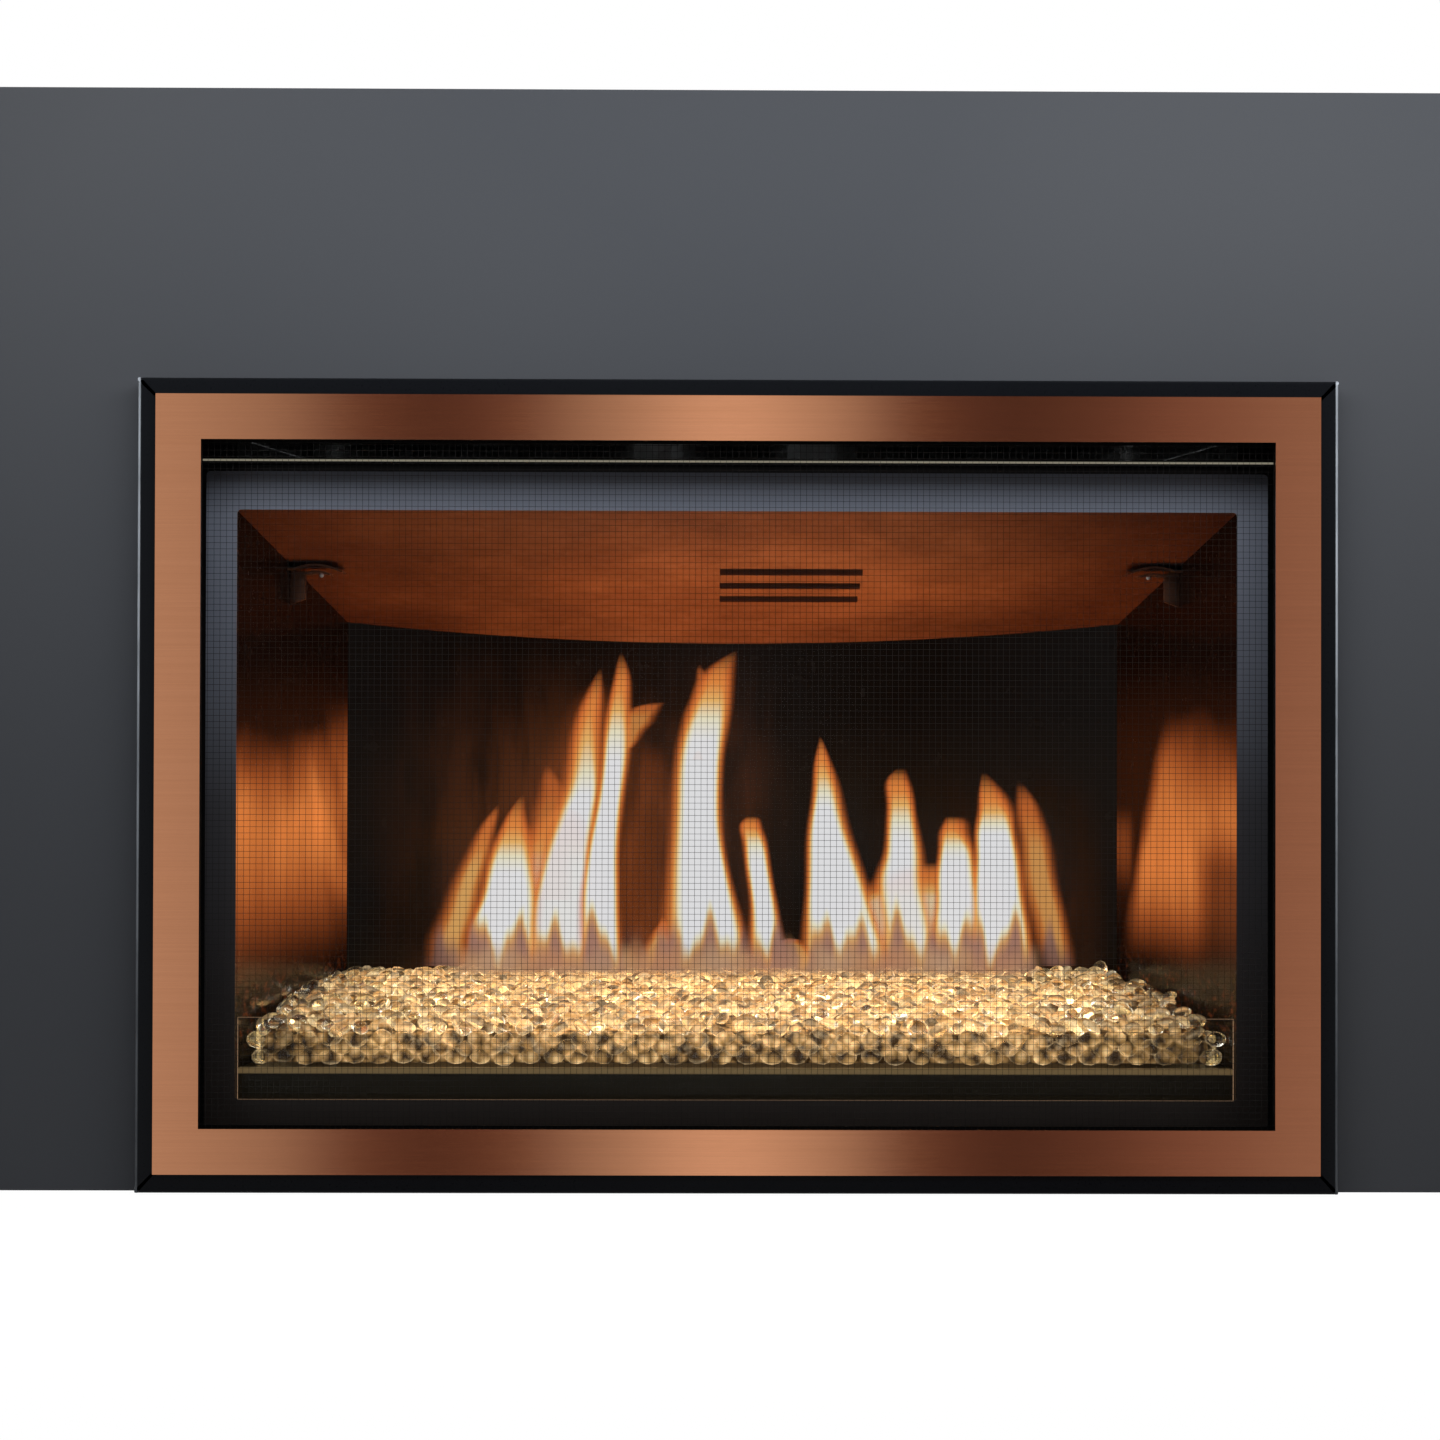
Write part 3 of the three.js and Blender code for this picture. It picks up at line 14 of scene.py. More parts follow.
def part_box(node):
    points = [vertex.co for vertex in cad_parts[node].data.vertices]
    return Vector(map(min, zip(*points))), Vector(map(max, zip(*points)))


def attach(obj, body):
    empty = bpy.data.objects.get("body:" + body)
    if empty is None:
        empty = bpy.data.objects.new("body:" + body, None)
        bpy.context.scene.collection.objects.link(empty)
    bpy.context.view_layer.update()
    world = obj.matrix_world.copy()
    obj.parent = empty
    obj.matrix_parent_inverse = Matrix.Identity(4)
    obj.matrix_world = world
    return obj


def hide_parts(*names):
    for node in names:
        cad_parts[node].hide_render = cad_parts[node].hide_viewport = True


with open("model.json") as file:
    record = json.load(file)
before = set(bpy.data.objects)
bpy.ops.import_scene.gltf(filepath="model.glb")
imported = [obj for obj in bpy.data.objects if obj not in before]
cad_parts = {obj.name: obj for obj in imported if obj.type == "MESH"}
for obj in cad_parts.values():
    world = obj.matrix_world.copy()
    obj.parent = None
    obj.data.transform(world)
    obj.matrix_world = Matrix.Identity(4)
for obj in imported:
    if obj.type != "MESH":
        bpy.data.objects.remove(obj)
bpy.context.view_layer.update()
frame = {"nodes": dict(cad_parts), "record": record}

# ------------------------------------------------------------------ the photograph's camera
PHOTO_SIDE = 1440
FOCAL_PIXELS = 2497
SENSOR = 36.0
YAW, PITCH, ROLL = (math.radians(angle) for angle in (0.375, 0.480, 0.155))
EYE = Vector((-0.0237, -1.9185, 0.311))

sight = Vector((math.sin(YAW) * math.cos(PITCH), math.cos(YAW) * math.cos(PITCH), math.sin(PITCH)))
level = Vector((math.cos(YAW), -math.sin(YAW), 0))
upward = level.cross(sight)
camera_x = math.cos(ROLL) * level + math.sin(ROLL) * upward
camera_y = -math.sin(ROLL) * level + math.cos(ROLL) * upward


def new_object(name, data):
    piece = bpy.data.objects.new(name, data)
    bpy.context.scene.collection.objects.link(piece)
    return piece


def add_camera():
    data = bpy.data.cameras.new("front_camera")
    data.sensor_width = SENSOR
    data.lens = SENSOR * FOCAL_PIXELS / PHOTO_SIDE
    data.clip_end = 50
    camera = new_object("front_camera", data)
    turn = Matrix((camera_x, camera_y, -sight)).transposed().to_4x4()
    camera.matrix_world = Matrix.Translation(EYE) @ turn
    bpy.context.scene.camera = camera


def at_pixel(px, py, depth):
    """The point at that depth (Y) which shows at a pixel of the photograph."""
    half = PHOTO_SIDE / 2
    ray = sight + camera_x * ((px - half) / FOCAL_PIXELS) + camera_y * ((half - py) / FOCAL_PIXELS)
    return EYE + ray * ((depth - EYE.y) / ray.y)


def smooth_step(value, low, high):
    share = min(1.0, max(0.0, (value - low) / (high - low)))
    return share * share * (3 - 2 * share)


# ------------------------------------------------------------------ nodes of the materials
class Nodes:
    """The nodes of a material or of the world, with the usual ones close at hand."""

    def __init__(self, owner):
        owner.use_nodes = True
        self.owner = owner
        self.tree = owner.node_tree
        self.tree.nodes.clear()
        self.place = self.new("TexCoord").outputs["Object"]
        self.x, self.y, self.z = self.new("SeparateXYZ", {0: self.place}).outputs

    def new(self, kind, inputs=None, **settings):
        """A node. Each input named takes a number, a colour, or another node or its output."""
        node = self.tree.nodes.new("ShaderNode" + kind)
        for setting, value in settings.items():
            setattr(node, setting, value)
        self.feed(node, inputs or {})
        return node

    def feed(self, node, inputs):
        for name, value in inputs.items():
            socket = node.inputs[name]
            if isinstance(value, bpy.types.Node):
                value = value.outputs[0]
            if isinstance(value, bpy.types.NodeSocket):
                self.tree.links.new(value, socket)
            else:
                socket.default_value = (*value, 1) if socket.type == "RGBA" else value

    def show(self, shader, kind="Material"):
        self.new("Output" + kind, {"Surface": shader})
        return self.owner

    def mix(self, share, first, second):
        """The first shader where the share is 0, the second where it is 1."""
        return self.new("MixShader", {0: share, 1: first, 2: second})

    def noise(self, scale, detail=3.0, stretch=None, rough=0.55):
        place = self.new("Mapping", {"Vector": self.place, "Scale": stretch}) if stretch else self.place
        return self.new("TexNoise", {"Scale": scale, "Detail": detail, "Roughness": rough,
                                     "Vector": place}).outputs["Fac"]

    def cells(self, scale, output="Distance"):
        return self.new("TexVoronoi", {"Scale": scale, "Vector": self.place}).outputs[output]

    def spread(self, value, low, high, from_low=0.3, from_high=0.7, soft=False):
        """Brings a value from one range to another and holds it there."""
        return self.new("MapRange", {"Value": value, "From Min": from_low, "From Max": from_high,
                                     "To Min": low, "To Max": high},
                        interpolation_type="SMOOTHSTEP" if soft else "LINEAR").outputs[0]

    def rise(self, value, low, high):
        """0 below low, 1 above high, softly between; falls instead where low is the larger."""
        if low < high:
            return self.spread(value, 0, 1, low, high, True)
        return self.spread(value, 1, 0, high, low, True)

    def combine(self, operation, *values):
        total = values[0]
        for value in values[1:]:
            total = self.new("Math", {0: total, 1: value}, operation=operation).outputs[0]
        return total

    def total(self, *values):
        return self.combine("ADD", *values)

    def product(self, *values):
        return self.combine("MULTIPLY", *values)

    def within(self, *edges):
        """1 inside all the soft edges given, each a value, where it is 0 and where it reaches 1."""
        return self.product(*(self.rise(*edge) for edge in edges))

    def size_of(self, value):
        return self.new("Math", {0: value}, operation="ABSOLUTE").outputs[0]

    def blend(self, value, *colours, easing="LINEAR"):
        """A colour for each value, from the values and colours given."""
        ramp = self.new("ValToRGB", {0: value})
        ramp.color_ramp.interpolation = easing
        stops = ramp.color_ramp.elements
        while len(stops) < len(colours):
            stops.new(0.5)
        for stop, (where, colour) in zip(stops, colours):
            stop.position = where
            stop.color = (*colour, 1)
        return ramp.outputs[0]


# ------------------------------------------------------------------ stage and light
REFLECTION_CARD = [  # place across the card (0 left, 1 right) and how bright a polished face sees it
    (0.00, 0.66), (0.19, 0.60), (0.25, 0.45), (0.305, 0.13), (0.345, 0.08), (0.385, 0.14), (0.44, 0.46),
    (0.49, 0.80), (0.51, 0.86), (0.55, 0.60), (0.61, 0.13), (0.655, 0.07), (0.70, 0.11), (0.76, 0.22),
    (0.82, 0.34), (1.00, 0.44),
]
CARD_WIDTH = 2.7
CARD_LOW, CARD_HIGH = -2.6, 3.4
CARD_DISTANCE = -2.15
SHADE_WARMTH = 0.10  # how much redder the card's dark stretches are
FLOOR_SIDE = 14
FLOOR_MIDDLE = (0, 1.5, 0)
FLOOR_SHARE = 0.90  # how much of the floor's own light the camera sees, against its shadows
FLOOR_BRIGHT, FLOOR_SHADED = 1.10, 0.62


def add_world():
    """White to the camera, in polished faces and through glass; a dim cool light on everything else."""
    world = bpy.data.worlds.new("studio")
    bpy.context.scene.world = world
    sky = Nodes(world)
    ray = sky.new("LightPath").outputs
    shiny = sky.total(ray["Is Glossy Ray"], ray["Is Transmission Ray"])
    seen = sky.new("Math", {0: ray["Is Camera Ray"], 1: shiny}, use_clamp=True)
    soft = sky.new("Background", {"Color": (0.93, 0.96, 1.0), "Strength": 0.04})
    white = sky.new("Background", {"Color": (1, 1, 1), "Strength": 1.0})
    sky.show(sky.mix(seen, soft, white), "World")


def lamp(name, place, target, size, power, colour):
    data = bpy.data.lights.new(name, "AREA")
    data.shape = "RECTANGLE"
    data.size, data.size_y = size
    data.energy = power
    data.color = colour
    light = new_object(name, data)
    aim = (Vector(target) - Vector(place)).to_track_quat("-Z", "Y")
    light.matrix_world = Matrix.Translation(place) @ aim.to_matrix().to_4x4()
    light.visible_camera = False
    light.visible_glossy = False


def add_lights():
    lamp("front_strip", (0.10, -0.74, 0.86), (0.05, -0.19, 0.66), (1.7, 0.25), 7.6, (0.95, 0.98, 1.0))
    lamp("front_fill", (0.5, -2.7, 1.2), (0.1, -0.1, 0.5), (1.6, 1.2), 0.9, (1.0, 0.98, 0.95))
    lamp("rear_fill", (0.4, 2.2, 1.9), (0, 0.1, 0.35), (1.6, 1.2), 26, (1, 1, 1))
    lamp("fire_glow_up", (0.0, 0.02, 0.19), (0, 0.02, 1.0), (0.5, 0.12), 2.0, (1.0, 0.50, 0.19))
    lamp("fire_glow_down", (0.0, 0.0, 0.33), (0, 0.0, 0.0), (0.5, 0.14), 1.4, (1.0, 0.60, 0.27))


def add_floor():
    """A pale floor that shows white, with one soft shade on it, well behind the unit."""
    rest_hands()
    bpy.ops.mesh.primitive_plane_add(size=FLOOR_SIDE, location=FLOOR_MIDDLE)
    floor = bpy.context.object
    floor.name = "pale_floor"
    pale = Nodes(bpy.data.materials.new("pale_floor"))
    shade = pale.within((pale.size_of(pale.x), 0.74, 0.34), (pale.y, 0.62, 0.14), (pale.y, -0.172, -0.130))
    diffuse = pale.new("BsdfDiffuse", {"Color": (0.40, 0.40, 0.40)})
    glow = pale.new("Emission", {"Strength": pale.spread(shade, FLOOR_BRIGHT, FLOOR_SHADED, 0, 1)})
    seen = pale.product(pale.new("LightPath").outputs["Is Camera Ray"], FLOOR_SHARE)
    floor.data.materials.append(pale.show(pale.mix(seen, diffuse, glow)))
    floor.visible_glossy = False  # polished faces see the reflection card instead


def add_reflection_card():
    """A striped card that only polished faces see."""
    card = flat_start("reflection_card", (0, CARD_DISTANCE, (CARD_LOW + CARD_HIGH) / 2), (math.pi / 2, 0, 0),
                      CARD_WIDTH, CARD_HIGH - CARD_LOW)
    stripes = Nodes(bpy.data.materials.new("reflection_card"))
    colours = []
    for where, bright in REFLECTION_CARD:
        warmth = SHADE_WARMTH * (1 - smooth_step(bright, 0.1, 0.5))
        tint = (1 + 2 * warmth, 1 - 2 * warmth, 1 - 2.4 * warmth)
        colours.append((where, [bright * channel for channel in tint]))
    across = stripes.spread(stripes.x, 0, 1, -CARD_WIDTH / 2, CARD_WIDTH / 2)
    glow = stripes.new("Emission", {"Color": stripes.blend(across, *colours, easing="EASE")})
    card.data.materials.append(stripes.show(glow))
    for ray in ("camera", "diffuse", "transmission", "volume_scatter", "shadow"):
        setattr(card, "visible_" + ray, False)


# ------------------------------------------------------------------ finishes
HEARTH_GLOW = (1.0, 0.66, 0.30)  # the fire's light on the burner tray
ENAMEL_HAZE = 0.035  # of the fire's strength, all over the side walls
ENAMEL_GLOW = 0.56


class Finish(Nodes):
    """A material with one surface shader."""

    def __init__(self, name, colour, roughness, metallic=0.0, specular=0.5):
        super().__init__(bpy.data.materials.new(name))
        self.shader = self.new("BsdfPrincipled", {"Base Color": colour, "Roughness": roughness,
                                                  "Metallic": metallic, "Specular IOR Level": specular})
        self.material = self.show(self.shader)

    def colour_from(self, value, *colours):
        self.feed(self.shader, {"Base Color": self.blend(value, *colours)})

    def glow_from(self, value, colour):
        self.feed(self.shader, {"Emission Color": colour, "Emission Strength": value})

    def roughness_from(self, value, low, high, from_low=0.3, from_high=0.7):
        self.feed(self.shader, {"Roughness": self.spread(value, low, high, from_low, from_high)})

    def bump(self, value, strength, distance):
        node = self.new("Bump", {"Height": value, "Strength": strength, "Distance": distance})
        self.feed(self.shader, {"Normal": node})

    def skin(self, grain, low, high, strength=0.06):
        """The fine orange peel of powder paint, in gloss and in relief."""
        fine = self.noise(grain, 2.0)
        self.roughness_from(fine, low, high)
        self.bump(fine, strength, 0.0002)


def painted_sheet(name, light, dark, low, high, specular=0.5, grain=850):
    """Powder paint with a broad change of tone."""
    paint = Finish(name, light, low, 0.0, specular)
    paint.colour_from(paint.noise(1.7, 1.0), (0.35, dark), (0.65, light))
    paint.skin(grain, low, high)
    return paint.material


def moulding_paint(name):
    """Satin black, with a painted highlight along the outer edges of the uprights, brightest near the top."""
    paint = Finish(name, (0.004, 0.005, 0.007), 0.3, 0.0, 0.09)
    # painted highlight: the outer edges are coloured bright, more so towards the top, broken up by noise
    painted_edge_highlight = paint.product(paint.rise(paint.size_of(paint.x), 0.4082, 0.4092),
                         paint.spread(paint.z, 0.25, 1.0, 0.05, 0.45, True),
                         paint.spread(paint.noise(30, 3.0), 0.7, 1.0, 0.35, 0.6))
    paint.colour_from(painted_edge_highlight, (0.0, (0.0040, 0.0048, 0.0066)), (1.0, (0.62, 0.66, 0.72)))
    paint.skin(700, 0.26, 0.38, 0.05)
    return paint.material


def glass_frame_paint(name):
    """Grey metallic paint with painted light: bright and bluish at the top, with painted shade darkening it
    towards the bottom.
    """
    paint = Finish(name, (0.05, 0.055, 0.07), 0.42, 0.0, 0.3)
    # painted light and shade: the colour gets lighter and bluer with height
    paint.colour_from(paint.spread(paint.z, 0, 1, 0.04, 0.49, True),
                      (0.0, (0.018, 0.014, 0.012)), (0.5, (0.055, 0.055, 0.063)),
                      (1.0, (0.185, 0.203, 0.255)))
    paint.skin(800, 0.36, 0.50)
    return paint.material


def tray_paint(name):
    """Black paint with a warm cast; the ledge under the beads catches the fire."""
    paint = Finish(name, (0.014, 0.011, 0.006), 0.4, 0.0, 0.3)
    ledge = paint.within((paint.z, 0.0735, 0.0746), (paint.y, -0.1345, -0.1385))
    paint.colour_from(ledge, (0.0, (0.015, 0.012, 0.006)), (1.0, (0.16, 0.115, 0.05)))
    paint.glow_from(paint.product(ledge, 0.085), HEARTH_GLOW)
    paint.skin(500, 0.30, 0.45)
    return paint.material


def brushed_copper(name):
    """Copper sheet brushed level, streaked across its height."""
    copper = Finish(name, (0.75, 0.31, 0.16), 0.15, 1.0)
    copper.feed(copper.shader, {"Anisotropic": 1.0, "Tangent": copper.new("CombineXYZ", {"Z": 1.0})})
    streaks = copper.noise(1.0, 4.0, (6, 6, 1600))
    fine = copper.noise(1.0, 2.0, (30, 30, 5200))
    copper.colour_from(streaks, (0.30, (0.69, 0.298, 0.150)), (0.70, (0.75, 0.332, 0.174)))
    copper.roughness_from(fine, 0.12, 0.17)
    copper.bump(fine, 0.25, 0.00004)
    return copper.material


def galvanised_steel(name):
    """Zinc coat with its spangle: every flake has its own tone and gloss."""
    steel = Finish(name, (0.50, 0.52, 0.53), 0.4, 0.9)
    tone, gloss, _ = steel.new("SeparateColor", {0: steel.cells(92, "Color")}).outputs
    steel.colour_from(tone, (0.1, (0.40, 0.42, 0.43)), (0.9, (0.56, 0.58, 0.59)))
    steel.roughness_from(gloss, 0.30, 0.52, 0, 1)
    steel.bump(steel.noise(30, 3.0), 0.05, 0.002)
    return steel.material


def back_enamel(name):
    """The bowed rear wall: black gloss enamel with a painted brown reflection of the fire in it."""
    enamel = Finish(name, (0.0035, 0.0028, 0.0022), 0.22, 0.0, 0.10)
    # painted reflection of the fire: a glow in two soft patches, streaked by wisps
    left_painted_glow = enamel.within((enamel.x, -0.31, -0.14), (enamel.x, 0.06, -0.04), (enamel.z, 0.41, 0.22))
    right_painted_glow = enamel.within((enamel.x, 0.10, 0.24), (enamel.x, 0.32, 0.25), (enamel.z, 0.30, 0.16))
    painted_glows = enamel.combine("MAXIMUM", left_painted_glow, enamel.product(right_painted_glow, 0.45))
    wisps = enamel.spread(enamel.noise(1.0, 3.0, (38, 2, 9)), 0.35, 1.5, 0.35, 0.65, True)
    enamel.glow_from(enamel.product(painted_glows, wisps, 0.060), (1.0, 0.27, 0.085))
    enamel.roughness_from(enamel.noise(60, 3.0), 0.16, 0.28)
    return enamel.material


def mirrored_fire(enamel, *glows):
    """Adds up the glows that the fire leaves in a side wall, with faint upright streaks in them."""
    haze = enamel.within((enamel.z, 0.385, 0.30), (enamel.z, 0.14, 0.2))
    streaks = enamel.spread(enamel.noise(1.0, 3.0, (1, 26, 9)), 0.90, 1.08, 0.35, 0.68, True)
    sway = enamel.noise(1.0, 4.0, (1, 110, 190))
    glint = enamel.product(enamel.within((enamel.z, 0.150, 0.128), (enamel.z, 0.085, 0.105)),
                           enamel.spread(sway, 0.0, 0.16, 0.50, 0.78, True))
    all_glows = enamel.total(*glows, enamel.product(haze, ENAMEL_HAZE))
    strength = enamel.total(enamel.product(all_glows, streaks), glint)
    colour = enamel.blend(strength, (0.0, (1.0, 0.20, 0.045)), (0.5, (1.0, 0.225, 0.048)),
                          (1.0, (1.0, 0.28, 0.062)))
    enamel.glow_from(enamel.product(strength, ENAMEL_GLOW), colour)
    enamel.roughness_from(enamel.noise(60, 3.0), 0.18, 0.30)
    return enamel.material


def left_enamel(name):
    """Left side wall: a broad soft glow, a brighter curve in it falling to the rear, a red streak above."""
    enamel = Finish(name, (0.006, 0.003, 0.002), 0.22, 0.0, 0.10)
    y, z = enamel.y, enamel.z
    crest = enamel.total(z, enamel.spread(y, 0.0, 0.105, 0.0, 0.116))
    wave = enamel.spread(enamel.noise(7, 2.0), -0.018, 0.018)
    height = enamel.total(z, wave, enamel.spread(y, 0.0, -0.022, 0.045, 0.105, True))
    broad = enamel.product(enamel.within((height, 0.322, 0.236), (z, 0.124, 0.262)),
                           enamel.spread(y, 1.0, 0.62, 0.04, 0.10, True), 1.16)
    edge = enamel.within((crest, 0.328, 0.300), (crest, 0.245, 0.292), (y, 0.0, 0.06), (z, 0.165, 0.20))
    streak = enamel.within((y, 0.045, 0.095), (crest, 0.352, 0.385), (z, 0.350, 0.290))
    return mirrored_fire(enamel, broad, enamel.product(edge, 0.30), enamel.product(streak, 0.25))


def right_enamel(name):
    """Right side wall: one tall glow whose rear edge leans forward with height, dark low at the front."""
    enamel = Finish(name, (0.006, 0.003, 0.002), 0.22, 0.0, 0.10)
    y, z = enamel.y, enamel.z
    wave = enamel.spread(enamel.noise(7, 2.0), -0.014, 0.014)
    lean = enamel.total(y, enamel.product(z, 0.58), wave)
    height = enamel.total(z, wave, enamel.spread(y, 0.024, 0.0, -0.11, -0.02))
    tall = enamel.product(enamel.within((height, 0.347, 0.258), (z, 0.132, 0.226), (lean, 0.202, 0.166)),
                          enamel.spread(z, 1.30, 0.98, 0.19, 0.27))
    dark = enamel.within((y, -0.040, -0.104), (z, 0.266, 0.212))
    lit = enamel.product(tall, enamel.spread(dark, 1.0, 0.22, 0, 1), 1.04)
    spark = enamel.within((y, 0.070, 0.098), (z, 0.262, 0.232), (z, 0.185, 0.225))
    return mirrored_fire(enamel, lit, enamel.product(spark, 0.30))


def fired_steel(name):
    """The sloping roof of the firebox, burnt to a red brown; painted shade darkens it towards both ends, so
    it is brightest over the flames.
    """
    steel = Finish(name, (0.16, 0.06, 0.03), 0.5, 0.15, 0.3)
    cloud = steel.total(steel.product(steel.noise(5.5, 3.0), 0.72), steel.product(steel.noise(26, 5.0), 0.28))
    colour = steel.blend(cloud, (0.36, (0.122, 0.042, 0.018)), (0.50, (0.178, 0.066, 0.031)),
                         (0.64, (0.262, 0.108, 0.056)))
    # painted shade: darker towards both ends, away from the flames' light
    ends = steel.blend(steel.size_of(steel.x), (0.05, (1, 1, 1)), (0.18, (0.80, 0.76, 0.70)),
                       (0.30, (0.46, 0.35, 0.26)), (0.36, (0.36, 0.25, 0.17)))
    shaded = steel.new("Mix", {0: 1.0, 6: colour, 7: ends}, data_type="RGBA", blend_type="MULTIPLY")
    steel.feed(steel.shader, {"Base Color": shaded.outputs[2]})
    steel.roughness_from(steel.noise(90, 4.0), 0.46, 0.66)
    steel.bump(steel.noise(380, 3.0), 0.12, 0.0004)
    return steel.material


def clear_glass(name, tint, mirror_index, edge_glow):
    """Thin clear glass: what is behind shows through, with a weak mirror on top and a lit cut edge."""
    glass = Nodes(bpy.data.materials.new(name))
    clear = glass.new("BsdfTransparent", {"Color": tint})
    smear = glass.noise(9, 2.0, rough=0.5)
    mirror = glass.new("BsdfGlossy", {"Roughness": glass.spread(smear, 0.02, 0.07, 0, 1)})
    pane = glass.mix(glass.new("Fresnel", {"IOR": mirror_index}), clear, mirror)
    edge = glass.new("Emission", {"Color": edge_glow})
    facing = glass.new("SeparateXYZ", {0: glass.new("NewGeometry").outputs["True Normal"]}).outputs["Y"]
    cut_face = glass.combine("LESS_THAN", glass.size_of(facing), 0.5)
    return glass.show(glass.mix(cut_face, pane, edge))


def plain_metal(name, colour, low, high, metallic=1.0, specular=0.5):
    metal = Finish(name, colour, low, metallic, specular)
    metal.roughness_from(metal.noise(120, 4.0), low, high)
    metal.bump(metal.noise(500, 3.0), 0.08, 0.0003)
    return metal.material


def deflector_steel(name):
    """Black painted sheet whose bare front lip catches the light."""
    steel = Finish(name, (0.004, 0.004, 0.004), 0.6, 0.0, 0.1)
    lip = steel.within((steel.y, -0.1742, -0.1748), (steel.z, 0.5071, 0.5066))
    steel.colour_from(lip, (0.0, (0.003, 0.003, 0.003)), (1.0, (0.40, 0.37, 0.28)))
    steel.glow_from(steel.product(lip, 0.20), (1.0, 0.93, 0.70))
    steel.roughness_from(steel.noise(120, 3.0), 0.5, 0.65)
    return steel.material


def rope_gasket(name):
    """Braided glass rope, its strands on the slant."""
    rope = Finish(name, (0.55, 0.53, 0.47), 0.95)
    wave = rope.new("TexWave", {"Scale": 220, "Vector": rope.place}, bands_direction="DIAGONAL")
    weave = wave.outputs["Fac"]
    rope.colour_from(weave, (0.2, (0.36, 0.34, 0.29)), (0.8, (0.62, 0.60, 0.54)))
    rope.bump(weave, 0.6, 0.0006)
    return rope.material


CLEAR_TINT = (0.985, 0.985, 0.98)
FINISHES = {  # every finish with its maker and what the maker needs
    "charcoal_paint": (painted_sheet, (0.083, 0.086, 0.095), (0.070, 0.074, 0.084), 0.44, 0.56, 0.22),
    "black_paint": (painted_sheet, (0.0050, 0.0052, 0.0060), (0.0045, 0.0045, 0.0050), 0.30, 0.42, 0.20, 700),
    "moulding_paint": (moulding_paint,),
    "glass_frame_paint": (glass_frame_paint,),
    "tray_paint": (tray_paint,),
    "dark_interior": (painted_sheet, (0.0030, 0.0030, 0.0030), (0.0025, 0.0025, 0.0025), 0.6, 0.8, 0.05, 500),
    "brushed_copper": (brushed_copper,),
    "galvanised_steel": (galvanised_steel,),
    "bare_steel": (plain_metal, (0.56, 0.55, 0.53), 0.26, 0.40),
    "deflector_steel": (deflector_steel,),
    "burnt_clip": (plain_metal, (0.10, 0.045, 0.024), 0.35, 0.5, 0.6),
    "screen_wire": (plain_metal, (0.014, 0.013, 0.013), 0.5, 0.7, 0.0, 0.10),
    "black_enamel": (back_enamel,),
    "left_enamel": (left_enamel,),
    "right_enamel": (right_enamel,),
    "fired_steel": (fired_steel,),
    "ceramic_glass": (clear_glass, CLEAR_TINT, 1.05, (0.02, 0.02, 0.02)),
    "guard_glass": (clear_glass, CLEAR_TINT, 1.05, (0.24, 0.15, 0.09)),
    "rope_gasket": (rope_gasket,),
    "cast_aluminium": (plain_metal, (0.60, 0.60, 0.59), 0.38, 0.55),
    "brass": (plain_metal, (0.68, 0.47, 0.17), 0.24, 0.38),
    "black_plastic": (plain_metal, (0.022, 0.022, 0.024), 0.34, 0.46, 0.0),
    "white_ceramic": (plain_metal, (0.82, 0.80, 0.75), 0.22, 0.34, 0.0),
}
OWN_FINISH = {
    "glass_frame": "glass_frame_paint",
    "side_reflector_left": "left_enamel",
    "side_reflector_right": "right_enamel",
    "media_guard_glass": "guard_glass",
    "burner_tray": "tray_paint",
    "air_deflector": "deflector_steel",
    "screen_retainer": "dark_interior",
}


def finish_nodes(materials):
    """Every solid takes the finish of its slot in the record, unless OWN_FINISH says otherwise."""
    slots = {part["node"]: part["material_slot"] for part in frame["record"]["subparts"]}
    for name, node in frame["nodes"].items():
        finish = OWN_FINISH.get(name, slots[name])
        if finish in materials:
            node.data.materials.clear()
            node.data.materials.append(materials[finish])


# ------------------------------------------------------------------ modelling helpers
def rest_hands():
    """Back to object mode with nothing selected."""
    if bpy.context.mode != "OBJECT":
        bpy.ops.object.mode_set(mode="OBJECT")
    bpy.ops.object.select_all(action="DESELECT")


def take_up(piece):
    """Object mode, with this piece alone selected."""
    rest_hands()
    piece.select_set(True)
    bpy.context.view_layer.objects.active = piece


def apply_place():
    bpy.ops.object.transform_apply(location=True, rotation=True, scale=True)


def edit():
    if bpy.context.mode != "EDIT_MESH":
        bpy.ops.object.mode_set(mode="EDIT")


def pick(chosen, kind="FACE"):
    """In edit mode, selects the faces, edges or vertices that chosen says yes to."""
    piece = bpy.context.object
    edit()
    bpy.ops.mesh.select_mode(type=kind)
    bpy.ops.mesh.select_all(action="DESELECT")
    shape = bmesh.from_edit_mesh(piece.data)
    for part in {"FACE": shape.faces, "EDGE": shape.edges, "VERT": shape.verts}[kind]:
        if chosen(part):
            part.select_set(True)
    bmesh.update_edit_mesh(piece.data)


def pick_all():
    edit()
    bpy.ops.mesh.select_all(action="SELECT")


def all_at(part, axis, value, slack=1e-5):
    return all(abs(corner.co[axis] - value) < slack for corner in part.verts)


def middle_of(face):
    return face.calc_center_median()


def block(name, low, high):
    """A block between two corners, to be shaped further."""
    rest_hands()
    low, high = Vector(low), Vector(high)
    bpy.ops.mesh.primitive_cube_add(size=1, location=(low + high) / 2, scale=high - low)
    bpy.context.object.name = name
    apply_place()
    return bpy.context.object


def flat_start(name, middle, turn, length, width):
    """A flat rectangle, to be extruded from."""
    rest_hands()
    bpy.ops.mesh.primitive_plane_add(size=1, location=middle, rotation=turn)
    piece = bpy.context.object
    piece.name = name
    piece.scale = (length, width, 1)
    apply_place()
    return piece


def push(direction):
    bpy.ops.mesh.extrude_region_move(TRANSFORM_OT_translate={"value": tuple(direction)})


